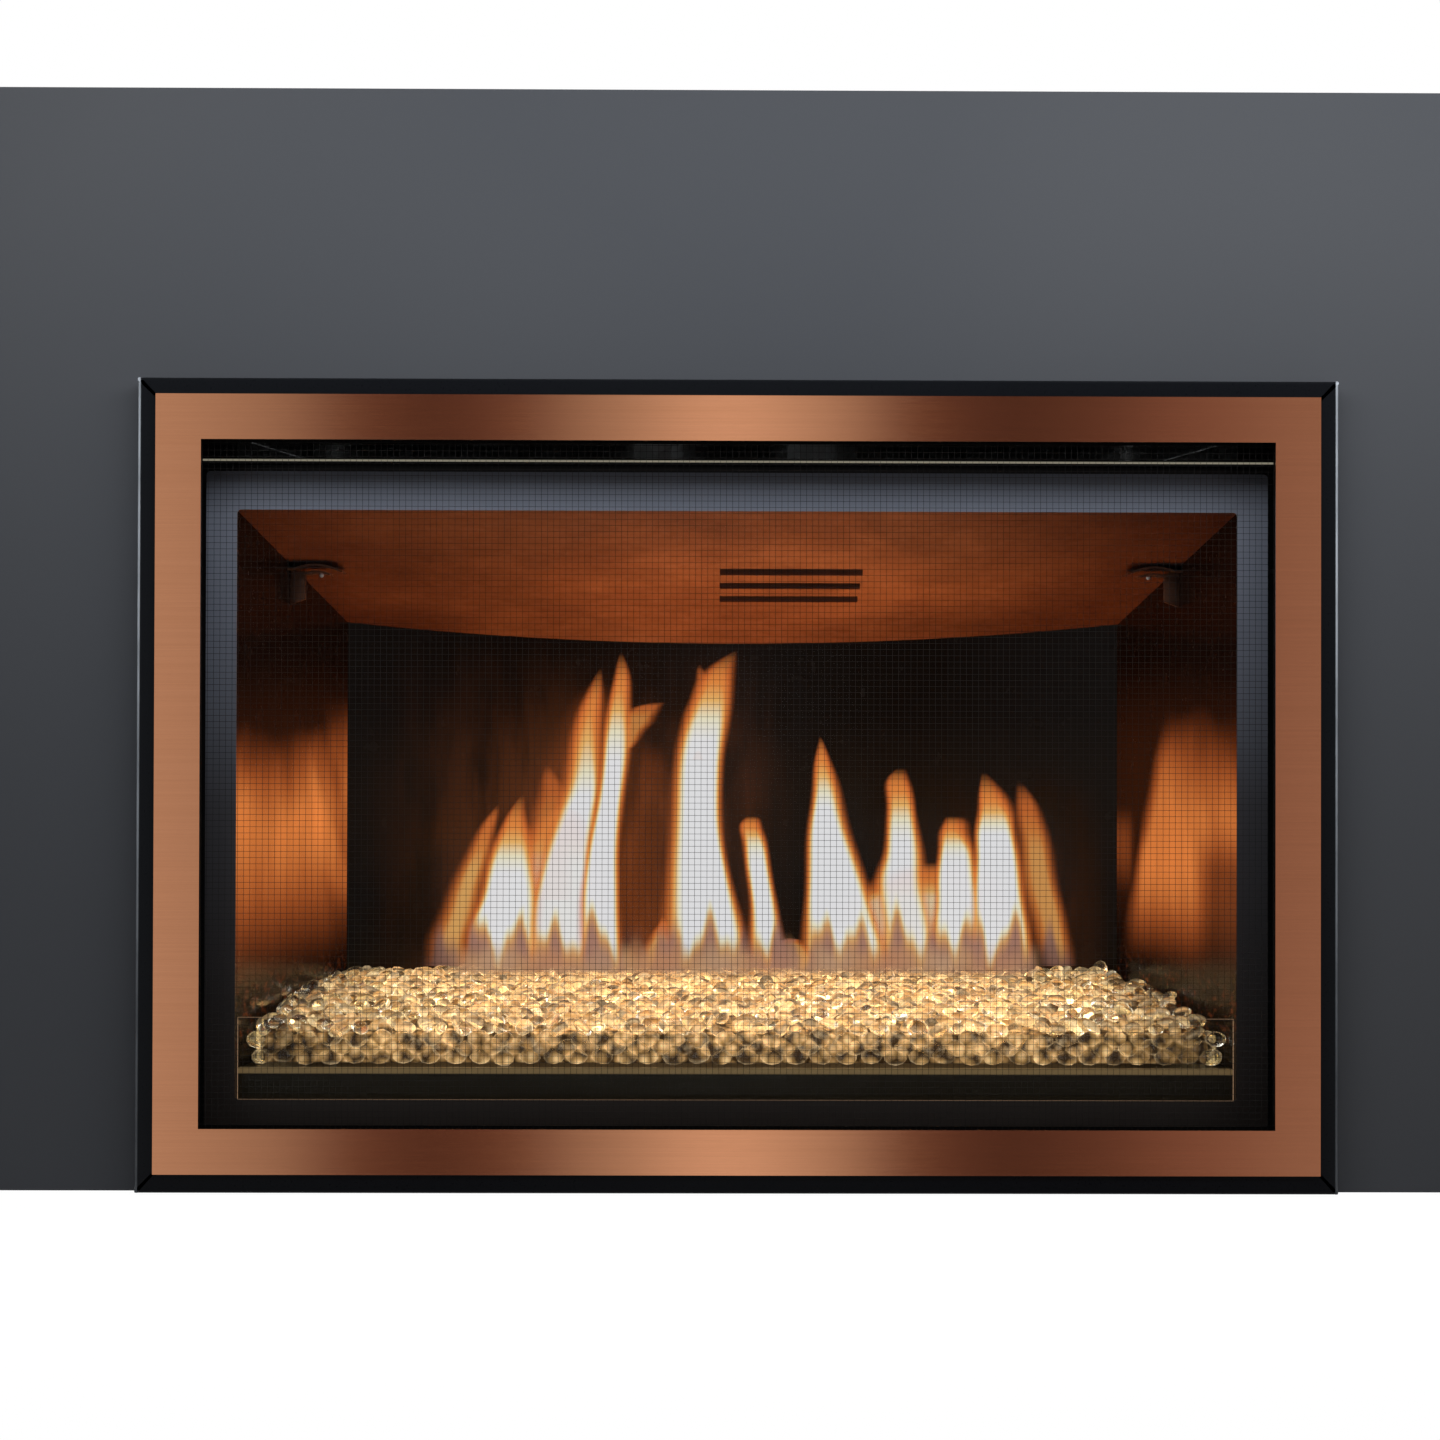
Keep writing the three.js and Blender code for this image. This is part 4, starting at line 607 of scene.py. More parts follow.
def round_over(chosen, radius, segments):
    """Rounds the edges that chosen says yes to."""
    pick(chosen, "EDGE")
    bpy.ops.mesh.bevel(offset=radius, segments=segments, affect="EDGES")


def cut(point, direction, drop=True):
    """Cuts the piece with a plane; what lies beyond it goes and the cut is closed, if drop says so."""
    pick_all()
    bpy.ops.mesh.bisect(plane_co=point, plane_no=direction, use_fill=drop, clear_outer=drop)


def faces_outward():
    pick_all()
    bpy.ops.mesh.normals_make_consistent(inside=False)


def modify(piece, kind, **settings):
    """Gives the piece a modifier and applies it."""
    modifier = piece.modifiers.new("step", kind)
    for setting, value in settings.items():
        setattr(modifier, setting, value)
    bpy.ops.object.modifier_apply(modifier=modifier.name)


def join_pieces(pieces, name):
    rest_hands()
    for piece in pieces:
        piece.select_set(True)
    bpy.context.view_layer.objects.active = pieces[0]
    bpy.ops.object.join()
    pieces[0].name = name
    return pieces[0]


def copies_of(blank, name, places):
    """One object of copies of a blank, each with its own mesh, at the given placements."""
    copies = []
    for number, place in enumerate(places):
        copy = new_object(name + "_" + str(number), blank.data.copy())
        copy.data.transform(place)
        copies.append(copy)
    return join_pieces(copies, name)


def finish_piece(piece, material, body="root", stands_for=(), smooth=30):
    """Applies the piece's place, smooths it, gives it its finish and hands it to its body."""
    take_up(piece)
    apply_place()
    if smooth:
        bpy.ops.object.shade_smooth_by_angle(angle=math.radians(smooth))
    piece.data.materials.clear()
    piece.data.materials.append(material)
    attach(piece, body)
    if stands_for:
        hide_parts(*stands_for)
    rest_hands()


# ------------------------------------------------------------------ black moulding of the lift-off front
MOULDING_INSET_X = 0.0024  # the painted outer edge, inside the solid's outline
MOULDING_INSET_TOP = 0.0017
MOULDING_ROUND = 0.0020
MOULDING_WALL = 0.0022
MOULDING_FACE = 1.6 * MOULDING_WALL  # metal left behind the rounded face
MOULDING_INNER_ROUND = 0.0008
HOOK_SHEET = 0.003
HOOK_DROP = 0.014
HOOK_ROUND = 0.002
HOOK_SEATS = (0.1203, 0.4503)
HOOK_SPAN = (0.3788, 0.3908)  # nearer and farther edge from the middle


def frame_outline():
    """Lower left and upper right corner of the moulding's painted outer edge, then of its opening."""
    left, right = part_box("frame_left_stile"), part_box("frame_right_stile")
    bottom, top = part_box("frame_bottom_rail"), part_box("frame_top_rail")
    return (Vector((left[0].x + MOULDING_INSET_X, 0, bottom[0].z)),
            Vector((right[1].x - MOULDING_INSET_X, 0, top[1].z - MOULDING_INSET_TOP)),
            Vector((left[1].x, 0, bottom[1].z)), Vector((right[0].x, 0, top[0].z)))


def moulding_side(name, node, outward, materials, hooks=()):
    """One mitred length of moulding: outer edge rounded over, rear hollowed, hooks welded inside."""
    outward = Vector(outward)
    axis = 0 if outward.x else 2
    along = 2 - axis
    outer_low, outer_high, inner_low, inner_high = frame_outline()
    low, high = (corner.copy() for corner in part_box(node))
    front, rear = (corner.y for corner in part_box("frame_top_rail"))
    low.y, high.y = front, rear
    for corner in (low, high):
        for way in (0, 2):
            corner[way] = min(max(corner[way], outer_low[way]), outer_high[way])
    bar = block(name, low, high)
    outer = (outer_low if outward[axis] < 0 else outer_high)[axis]
    inner = (inner_low if outward[axis] < 0 else inner_high)[axis]
    for face, radius, segments in ((outer, MOULDING_ROUND, 5), (inner, MOULDING_INNER_ROUND, 2)):
        round_over(lambda edge: all_at(edge, 1, front) and all_at(edge, axis, face), radius, segments)
    for outside, inside, sign in ((outer_low, inner_low, -1), (outer_high, inner_high, 1)):
        corner, heart = Vector((0, 0, 0)), Vector((0, 0, 0))
        corner[axis], corner[along] = outer, outside[along]
        heart[axis], heart[along] = inner, inside[along]
        run = corner - heart
        mitre = Vector((-run.z, 0, run.x))
        if mitre[along] * sign < 0:
            mitre.negate()
        cut(corner, mitre)
    pick(lambda face: all_at(face, 1, rear))
    bpy.ops.mesh.inset(thickness=MOULDING_WALL)
    push((0, front - rear + MOULDING_FACE, 0))
    parts = [bar] + [front_hook(name + "_hook", outward.x, seat, front) for seat in hooks]
    side = join_pieces(parts, name)
    finish_piece(side, materials["moulding_paint"], "lift_off_front", (node,), 40)


def front_hook(name, sign, seat, front):
    """A hanging hook: an arm to the rear with its tip turned down."""
    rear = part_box("frame_left_stile")[1].y
    split = rear - HOOK_SHEET
    ends = sorted(sign * edge for edge in HOOK_SPAN)
    hook = block(name, (ends[0], front + MOULDING_WALL, seat), (ends[1], rear, seat + HOOK_SHEET))
    cut((0, split, 0), (0, 1, 0), False)
    pick(lambda face: all_at(face, 2, seat) and middle_of(face).y > split)
    push((0, 0, -HOOK_DROP))
    round_over(lambda edge: all_at(edge, 2, seat + HOOK_SHEET) and all_at(edge, 1, rear), HOOK_ROUND, 3)
    rest_hands()
    return hook


def add_moulding(materials):
    for side, node, outward, hooks in (
        ("top", "frame_top_rail", (0, 0, 1), ()),
        ("bottom", "frame_bottom_rail", (0, 0, -1), ()),
        ("left", "frame_left_stile", (-1, 0, 0), HOOK_SEATS),
        ("right", "frame_right_stile", (1, 0, 0), HOOK_SEATS),
    ):
        moulding_side("moulding_" + side, node, outward, materials, hooks)


# ------------------------------------------------------------------ barrier net
NET_PITCH = 0.00423
WIRE_RADIUS = 0.00013
WEAVE = 0.0002


def woven_wires(name, turn, first_lift, start, runs, rows, materials):
    """Parallel wires, each passing in front of and behind every other crossing wire by turns."""
    along = Vector((math.sin(turn), 0, math.cos(turn)))
    across = Vector((math.cos(turn), 0, math.sin(turn)))
    strands = []
    for number, lift in enumerate((first_lift, -first_lift)):
        rest_hands()
        middle = start + across * (NET_PITCH * number) + along * NET_PITCH
        bpy.ops.mesh.primitive_cylinder_add(
            vertices=4, radius=WIRE_RADIUS, depth=2 * NET_PITCH, end_fill_type="NOTHING",
            location=middle + Vector((0, lift, 0)), rotation=(0, turn, 0))
        strands.append(bpy.context.object)
        apply_place()
        pick(lambda edge: abs((edge.verts[0].co - edge.verts[1].co).dot(along)) > NET_PITCH, "EDGE")
        bpy.ops.mesh.subdivide(number_cuts=1)
        pick(lambda corner: abs((corner.co - middle).dot(along)) < NET_PITCH / 2, "VERT")
        bpy.ops.transform.translate(value=(0, -2 * lift, 0))
    wires = join_pieces(strands, name)
    for step, count, merge in ((along, runs, True), (across, rows, False)):
        modify(wires, "ARRAY", use_relative_offset=False, use_constant_offset=True,
               constant_offset_displace=step * 2 * NET_PITCH, count=count,
               use_merge_vertices=merge, merge_threshold=0.00001)
    pick_all()
    bpy.ops.mesh.fill_holes(sides=4)
    bpy.ops.mesh.normals_make_consistent(inside=False)
    finish_piece(wires, materials["screen_wire"], "lift_off_front", ("barrier_screen",), 0)


def add_net(materials):
    low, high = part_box("barrier_screen")
    middle = (low + high) / 2
    columns, rows = (int(side / (2 * NET_PITCH)) for side in (high.x - low.x, high.z - low.z))
    corner = middle - Vector((columns * NET_PITCH, 0, rows * NET_PITCH))
    woven_wires("net_upright_wires", 0, WEAVE, corner, rows, columns, materials)
    woven_wires("net_level_wires", math.pi / 2, -WEAVE, corner, columns, rows, materials)


# ------------------------------------------------------------------ glass beads
WALL_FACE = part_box("surround_panel")[1].y  # the back of the surround closes against the wall
BED_LOW, BED_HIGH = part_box("glass_bead_media")
BEAD_HALF = Vector((0.0086, 0.0062, 0.0047))
BEAD_PITCH_X, BEAD_PITCH_Y = 0.0142, 0.0112
BEAD_SINK = 0.0022  # of the top beads into the bed
BEAD_SHAPES = 5
BEAD_SCATTER = (0.0017, 0.0014, 0.0012)
BEAD_SIZES = (0.84, 1.12)
COURSES = 3  # of upright beads in the bed's front and side walls
COURSE_PITCH = 0.0176
COURSE_TILT = math.radians(78)
COURSE_FOOT = 0.0070
FRONT_INSET, SIDE_INSET, SIDE_START = 0.001, 0.002, 0.016  # of the courses from the bed's front and sides
COURSE_SWAY = 0.12
COURSE_SCATTER, COURSE_LIFT = 0.0009, 0.0005
COURSE_SIZES = (0.94, 1.05)
BED_CREST = 0.022  # rise of the bed from its front edge to its back
BED_RUN = 0.070
BED_TAPER = 0.036  # the side walls close in towards the back
LIT_SHARE = 0.74  # how far out from the middle the front beads are lit through


def bed_height(y):
    full = 1 - math.exp((BED_LOW.y - BED_HIGH.y) / BED_RUN)
    edge = BED_HIGH.z - BED_CREST * full
    return edge + BED_CREST * (1 - math.exp((BED_LOW.y - y) / BED_RUN))


def bed_half_width(y):
    share = (y - BED_LOW.y) / (BED_HIGH.y - BED_LOW.y)
    return BED_HIGH.x - share * BED_TAPER


def bead_blank(seed):
    """One drop of poured glass: a ball pressed flat, with one side drawn in."""
    maker = random.Random(seed)
    rest_hands()
    bpy.ops.mesh.primitive_ico_sphere_add(subdivisions=2, radius=1)
    bead = bpy.context.object
    bead.name = "bead_blank"
    side = Vector((maker.uniform(-1, 1), maker.uniform(-1, 1), maker.uniform(-0.5, 0.5))).normalized()
    pick(lambda corner: corner.co.dot(side) > 0.45, "VERT")
    bpy.ops.transform.resize(value=(0.9, 0.9, 0.82), center_override=(0, 0, 0))
    pick(lambda corner: corner.co.z < -0.6, "VERT")
    bpy.ops.transform.translate(value=(0, 0, 0.12))
    pick_all()
    bpy.ops.transform.resize(value=BEAD_HALF, center_override=(0, 0, 0))
    rest_hands()
    rim = bead.data.attributes.new("rim", "FLOAT", "POINT")
    for corner, mark in zip(bead.data.vertices, rim.data):
        mark.value = 1 - smooth_step(abs(corner.co.z) / BEAD_HALF.z, 0.15, 0.60)
    return bead


def bead_finish(name, tint, glow, rim):
    """Clear poured glass; the light gathers in the rim of every bead."""
    glass = Finish(name, tint, 0.03)
    glass.feed(glass.shader, {"IOR": 1.5, "Transmission Weight": 1.0})
    bright = glass.product(glass.new("Attribute", attribute_name="rim").outputs["Fac"],
                           glass.spread(glass.size_of(glass.x), rim, 0.35 * rim, 0.25, 0.35, True),
                           glass.spread(glass.noise(70, 2.0), 0.35, 1.4, 0.38, 0.62))
    if glow:
        bright = glass.total(bright, glass.spread(glass.noise(150, 2.0), 0.0, glow, 0.44, 0.70))
    glass.glow_from(bright, (1.0, 0.74, 0.42))
    glass.roughness_from(glass.noise(90, 2.0), 0.02, 0.06)
    return glass.material


def glowing_bed_finish():
    """The mass of lit glass between the beads: fine bright cells, dark at its foot and at both ends."""
    bed = Finish("glowing_bed", (0.5, 0.35, 0.16), 0.4, 0.0, 0.2)
    colour = bed.blend(bed.cells(135), (0.10, (0.98, 0.70, 0.38)), (0.40, (0.46, 0.28, 0.11)),
                       (0.72, (0.05, 0.026, 0.008)))
    bed.feed(bed.shader, {"Base Color": colour})
    ends = bed.spread(bed.size_of(bed.x), 0.58, 0.07, 0.235, 0.345, True)
    foot = bed.spread(bed.z, 0.62, 1.0, 0.078, 0.098, True)
    patches = bed.spread(bed.noise(26, 2.0), 0.55, 1.25, 0.35, 0.65)
    bed.glow_from(bed.product(ends, foot, patches), colour)
    return bed.material


def placement(spot, lean, size):
    x, y, z = lean
    turn = Matrix.Rotation(z, 4, "Z") @ Matrix.Rotation(y, 4, "Y") @ Matrix.Rotation(x, 4, "X")
    return Matrix.Translation(spot) @ turn @ Matrix.Scale(size, 4)


def bead_places():
    """Where every bead lies, and whether the fire shines through it."""
    maker = random.Random(41)
    places = []

    def upright_bead(spot, turn, lit):
        lean = (COURSE_TILT + maker.gauss(0, COURSE_SWAY), maker.gauss(0, COURSE_SWAY), turn())
        places.append((placement(spot, lean, maker.uniform(*COURSE_SIZES)), lit))

    row = 0
    y = BED_LOW.y + 1.3 * BEAD_HALF.y
    while y < BED_HIGH.y - BEAD_HALF.y:
        half = bed_half_width(y) - 1.3 * BEAD_HALF.x
        x = -half + (row % 2) * BEAD_PITCH_X / 2
        while x < half:
            spot = Vector((x + maker.gauss(0, BEAD_SCATTER[0]), y + maker.gauss(0, BEAD_SCATTER[1]), 0))
            spot.z = bed_height(spot.y) - BEAD_SINK + maker.gauss(0, BEAD_SCATTER[2])
            lean = (maker.gauss(0, 0.5), maker.gauss(0, 0.4), maker.uniform(0, math.pi))
            lit = maker.random() > smooth_step(abs(spot.x) / BED_HIGH.x, 0.50, 0.92)
            places.append((placement(spot, lean, maker.uniform(*BEAD_SIZES)), lit))
            x += BEAD_PITCH_X
        y += BEAD_PITCH_Y
        row += 1
    foot, top = BED_LOW.z + COURSE_FOOT, bed_height(BED_LOW.y)
    half = bed_half_width(BED_LOW.y) - BEAD_HALF.x
    pitch = 2 * half / round(2 * half / COURSE_PITCH)
    for course in range(COURSES):
        z = foot + (top - foot) * course / COURSES
        x = -half + (course % 2) * pitch / 2
        while x < half + pitch / 4:
            spot = (x + maker.gauss(0, COURSE_SCATTER), BED_LOW.y + BEAD_HALF.z + FRONT_INSET,
                    z + maker.gauss(0, COURSE_LIFT))
            upright_bead(spot, lambda: maker.gauss(0, 0.08), course > 0 and abs(x) < LIT_SHARE * half)
            x += pitch
        y = BED_LOW.y + SIDE_START
        while y < BED_HIGH.y - BEAD_HALF.x:
            for sign in (-1, 1):
                spot = (sign * (bed_half_width(y) - BEAD_HALF.z - SIDE_INSET),
                        y + maker.gauss(0, COURSE_SCATTER), z)
                upright_bead(spot, lambda: math.pi / 2, False)
            y += pitch
    return places


def add_beads():
    blanks = [bead_blank(seed) for seed in range(BEAD_SHAPES)]
    finishes = {
        "lit_beads": bead_finish("lit_glass_beads", (1.0, 0.92, 0.77), 0.26, 0.15),
        "clear_beads": bead_finish("clear_glass_beads", (0.92, 0.90, 0.78), 0.0, 0.34),
    }
    places = bead_places()
    for name, finish in finishes.items():
        wanted = [place for place, lit in places if lit == (name == "lit_beads")]
        heaps = [
            copies_of(blank, name + "_" + str(number), wanted[number::BEAD_SHAPES])
            for number, blank in enumerate(blanks)
        ]
        finish_piece(join_pieces(heaps, name), finish, "root", ("glass_bead_media",), 180)
    for blank in blanks:
        bpy.data.objects.remove(blank)


BED_STRIPS = 14
BED_FRONT = 0.0065  # how far the glowing mass stands behind the front of the bed
BED_ENDS = 0.012  # and inside its ends
BED_REAR = 0.003
BED_SINK = 0.0055  # and under the top beads
BED_FOOT = 0.002
BED_REAR_WALL_FOOT = 0.012


def add_glowing_bed():
    """A curved sheet under the beads: its front wall first, then strip after strip to the rear."""
    front, foot = BED_LOW.y + BED_FRONT, BED_LOW.z + BED_FOOT
    top = bed_height(front) - BED_SINK
    half = bed_half_width(front) - BED_ENDS
    bed = flat_start("glowing_bed", (0, front, (foot + top) / 2), (math.pi / 2, 0, 0), 2 * half, top - foot)
    pick(lambda edge: all_at(edge, 2, top, 0.0005), "EDGE")
    y, z = front, top
    for strip in range(BED_STRIPS):
        rear = front + (BED_HIGH.y - BED_REAR - front) * (strip + 1) / BED_STRIPS
        rear_top = bed_height(rear) - BED_SINK
        push((0, rear - y, rear_top - z))
        narrower = (bed_half_width(rear) - BED_ENDS) / half
        bpy.ops.transform.resize(value=(narrower, 1, 1), center_override=(0, rear, rear_top))
        y, z, half = rear, rear_top, half * narrower
    push((0, 0, foot + BED_REAR_WALL_FOOT - z))
    faces_outward()
    finish_piece(bed, glowing_bed_finish(), "root", ("glass_bead_media",), 60)


# ------------------------------------------------------------------ ceiling clips
CLIP_WALL = 0.0015
CLIP_RISE = 0.0052  # how far the leaf arches over its length
LOWER_LEAF_START, LOWER_LEAF_LENGTH, LOWER_LEAF_RISE, LOWER_LEAF_DROP = 0.012, 0.020, 0.0022, 0.0095
CLIP_STEPS = 8
CLIP_TAB_WIDTH = 0.0125
CLIP_TAB_DROP = 0.027
CLIP_TAB_HALF = 0.002
CLIP_TAB_ROUND = 0.0005
CLIP_CLEARANCE = 0.001
CLIP_SCREW_RADIUS = 0.0013
CLIP_SCREW_REACH, CLIP_SCREW_DROP = 0.026, 0.0112


def clip_leaf(name, start, end, rise, middle_y, top, width):
    """An arched spring leaf from one X to the other."""
    step = (end - start) / CLIP_STEPS
    leaf = flat_start(name, (start + step / 2, middle_y, top), (0, 0, 0), abs(step), width)
    pick(lambda edge: all_at(edge, 0, start + step), "EDGE")
    for number in range(1, CLIP_STEPS):
        before, after = (math.sin(math.pi * share / CLIP_STEPS) for share in (number, number + 1))
        push((step, 0, rise * (after - before)))
    take_up(leaf)
    modify(leaf, "SOLIDIFY", thickness=CLIP_WALL, offset=0)
    faces_outward()
    return leaf


def add_clip(side, sign, materials):
    """Spring clip under the ceiling: an arched leaf, a shorter leaf below it with its screw, and a tab."""
    node = "ceiling_clip_" + side
    low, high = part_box(node)
    wall = low.x if sign < 0 else high.x
    middle_y = (low.y + high.y) / 2
    width = high.y - low.y - 2 * CLIP_CLEARANCE
    lower = wall - sign * LOWER_LEAF_START
    pieces = [
        clip_leaf("leaf", wall, wall - sign * (high.x - low.x), CLIP_RISE, middle_y,
                  high.z - CLIP_CLEARANCE - CLIP_RISE, width),
        clip_leaf("lower_leaf", lower, lower - sign * LOWER_LEAF_LENGTH, LOWER_LEAF_RISE, middle_y,
                  high.z - LOWER_LEAF_DROP, width),
    ]
    tab_x = sorted((wall, wall - sign * CLIP_TAB_WIDTH))
    tab_top = high.z - CLIP_RISE - 2 * CLIP_CLEARANCE
    tab_foot = tab_top - CLIP_TAB_DROP
    tab = block("tab", (tab_x[0], middle_y - CLIP_TAB_HALF, tab_foot),
                (tab_x[1], middle_y + CLIP_TAB_HALF, tab_top))
    cut((wall, middle_y, tab_foot + 0.001), (-0.35 * sign, 0, -1))
    pick_all()
    bpy.ops.mesh.bevel(offset=CLIP_TAB_ROUND, segments=2, affect="EDGES")
    clip = join_pieces(pieces + [tab], "ceiling_spring_clip_" + side)
    finish_piece(clip, materials["burnt_clip"], "root", (node,), 40)
    blank = screw_blank(CLIP_SCREW_RADIUS)
    spot = (wall - sign * CLIP_SCREW_REACH, low.y + CLIP_CLEARANCE, high.z - CLIP_SCREW_DROP)
    add_screw_set("ceiling_clip_screw_" + side, blank, FACING["front"], [spot], materials)
    bpy.data.objects.remove(blank)


# ------------------------------------------------------------------ sheet metal screws
SCREW_RADIUS = 0.0036
FACING = {
    "up": Matrix.Identity(4),
    "left": Matrix.Rotation(-math.pi / 2, 4, "Y"),
    "right": Matrix.Rotation(math.pi / 2, 4, "Y"),
    "rear": Matrix.Rotation(-math.pi / 2, 4, "X"),
    "front": Matrix.Rotation(math.pi / 2, 4, "X"),
}
SIDE_SCREWS_Y = -0.075
PANEL_EDGE = 0.012  # from a panel's edge to its screws
TOP_EDGE = 0.010
VENT_EDGE = 0.008


def rounded_disc(sides, radius, thickness, foot, edge_round, segments):
    """A short cylinder or prism standing on foot, its upper edge rounded."""
    rest_hands()
    bpy.ops.mesh.primitive_cylinder_add(vertices=sides, radius=radius, depth=thickness,
                                        location=(0, 0, foot + thickness / 2))
    round_over(lambda edge: all_at(edge, 2, thickness / 2), edge_round, segments)
    return bpy.context.object


def screw_blank(radius):
    """A hexagon washer-head screw, head up, its washer's underside at the origin."""
    washer = rounded_disc(24, 1.3 * radius, 0.25 * radius, 0, 0.1 * radius, 2)
    head = rounded_disc(6, radius, 0.8 * radius, 0.2 * radius, 0.14 * radius, 3)
    pick(lambda face: face.normal.z > 0.9 and middle_of(face).length < radius)
    bpy.ops.mesh.inset(thickness=0.25 * radius)
    push((0, 0, -0.15 * radius))
    screw = join_pieces([washer, head], "screw_blank")
    take_up(screw)
    apply_place()
    return screw


def add_screw_set(name, blank, turn, spots, materials):
    screws = copies_of(blank, name, [Matrix.Translation(spot) @ turn for spot in spots])
    finish_piece(screws, materials["bare_steel"], "root")


def add_screws(materials):
    """Screws that hold the brackets, the casing's panels and the vent plate."""
    (left, front, _), (right, rear, top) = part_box("vent_plate")
    (_, case_front, _), (_, case_rear, case_top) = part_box("casing_top")
    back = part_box("casing_back")
    sets = {
        "vent_plate_screws": ("up", [
            (x, y, top) for x in (left + PANEL_EDGE, 0, right - PANEL_EDGE)
            for y in (front + VENT_EDGE, rear - VENT_EDGE)
        ]),
        "casing_top_screws": ("up", [
            (x, case_front + TOP_EDGE, case_top) for x in (-0.36, -0.18, 0, 0.18, 0.36)
        ] + [(x, case_rear - TOP_EDGE, case_top) for x in (-0.30, -0.10, 0.10, 0.30)]),
        "casing_back_screws": ("rear", [
            (x, back[1].y, z) for x in (back[0].x + PANEL_EDGE, back[1].x - PANEL_EDGE)
            for z in (0.03, 0.20, 0.37, 0.52)
        ] + [(x, back[1].y, z) for x in (-0.16, 0.16) for z in (0.014, 0.532)]),
    }
    for end, side in enumerate(("left", "right")):
        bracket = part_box("surround_bracket_" + side)
        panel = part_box("casing_" + side + "_side")
        sets["bracket_" + side + "_screws"] = (side, [
            (bracket[end].x, bracket[1].y - PANEL_EDGE, z) for z in (0.05, 0.18, 0.31, 0.44)
        ])
        sets["casing_" + side + "_screws"] = (side, [
            (panel[end].x, SIDE_SCREWS_Y, z) for z in (0.018, 0.19, 0.36, 0.53)
        ])
    blank = screw_blank(SCREW_RADIUS)
    for name, (facing, spots) in sets.items():
        add_screw_set(name, blank, FACING[facing], spots, materials)
    bpy.data.objects.remove(blank)


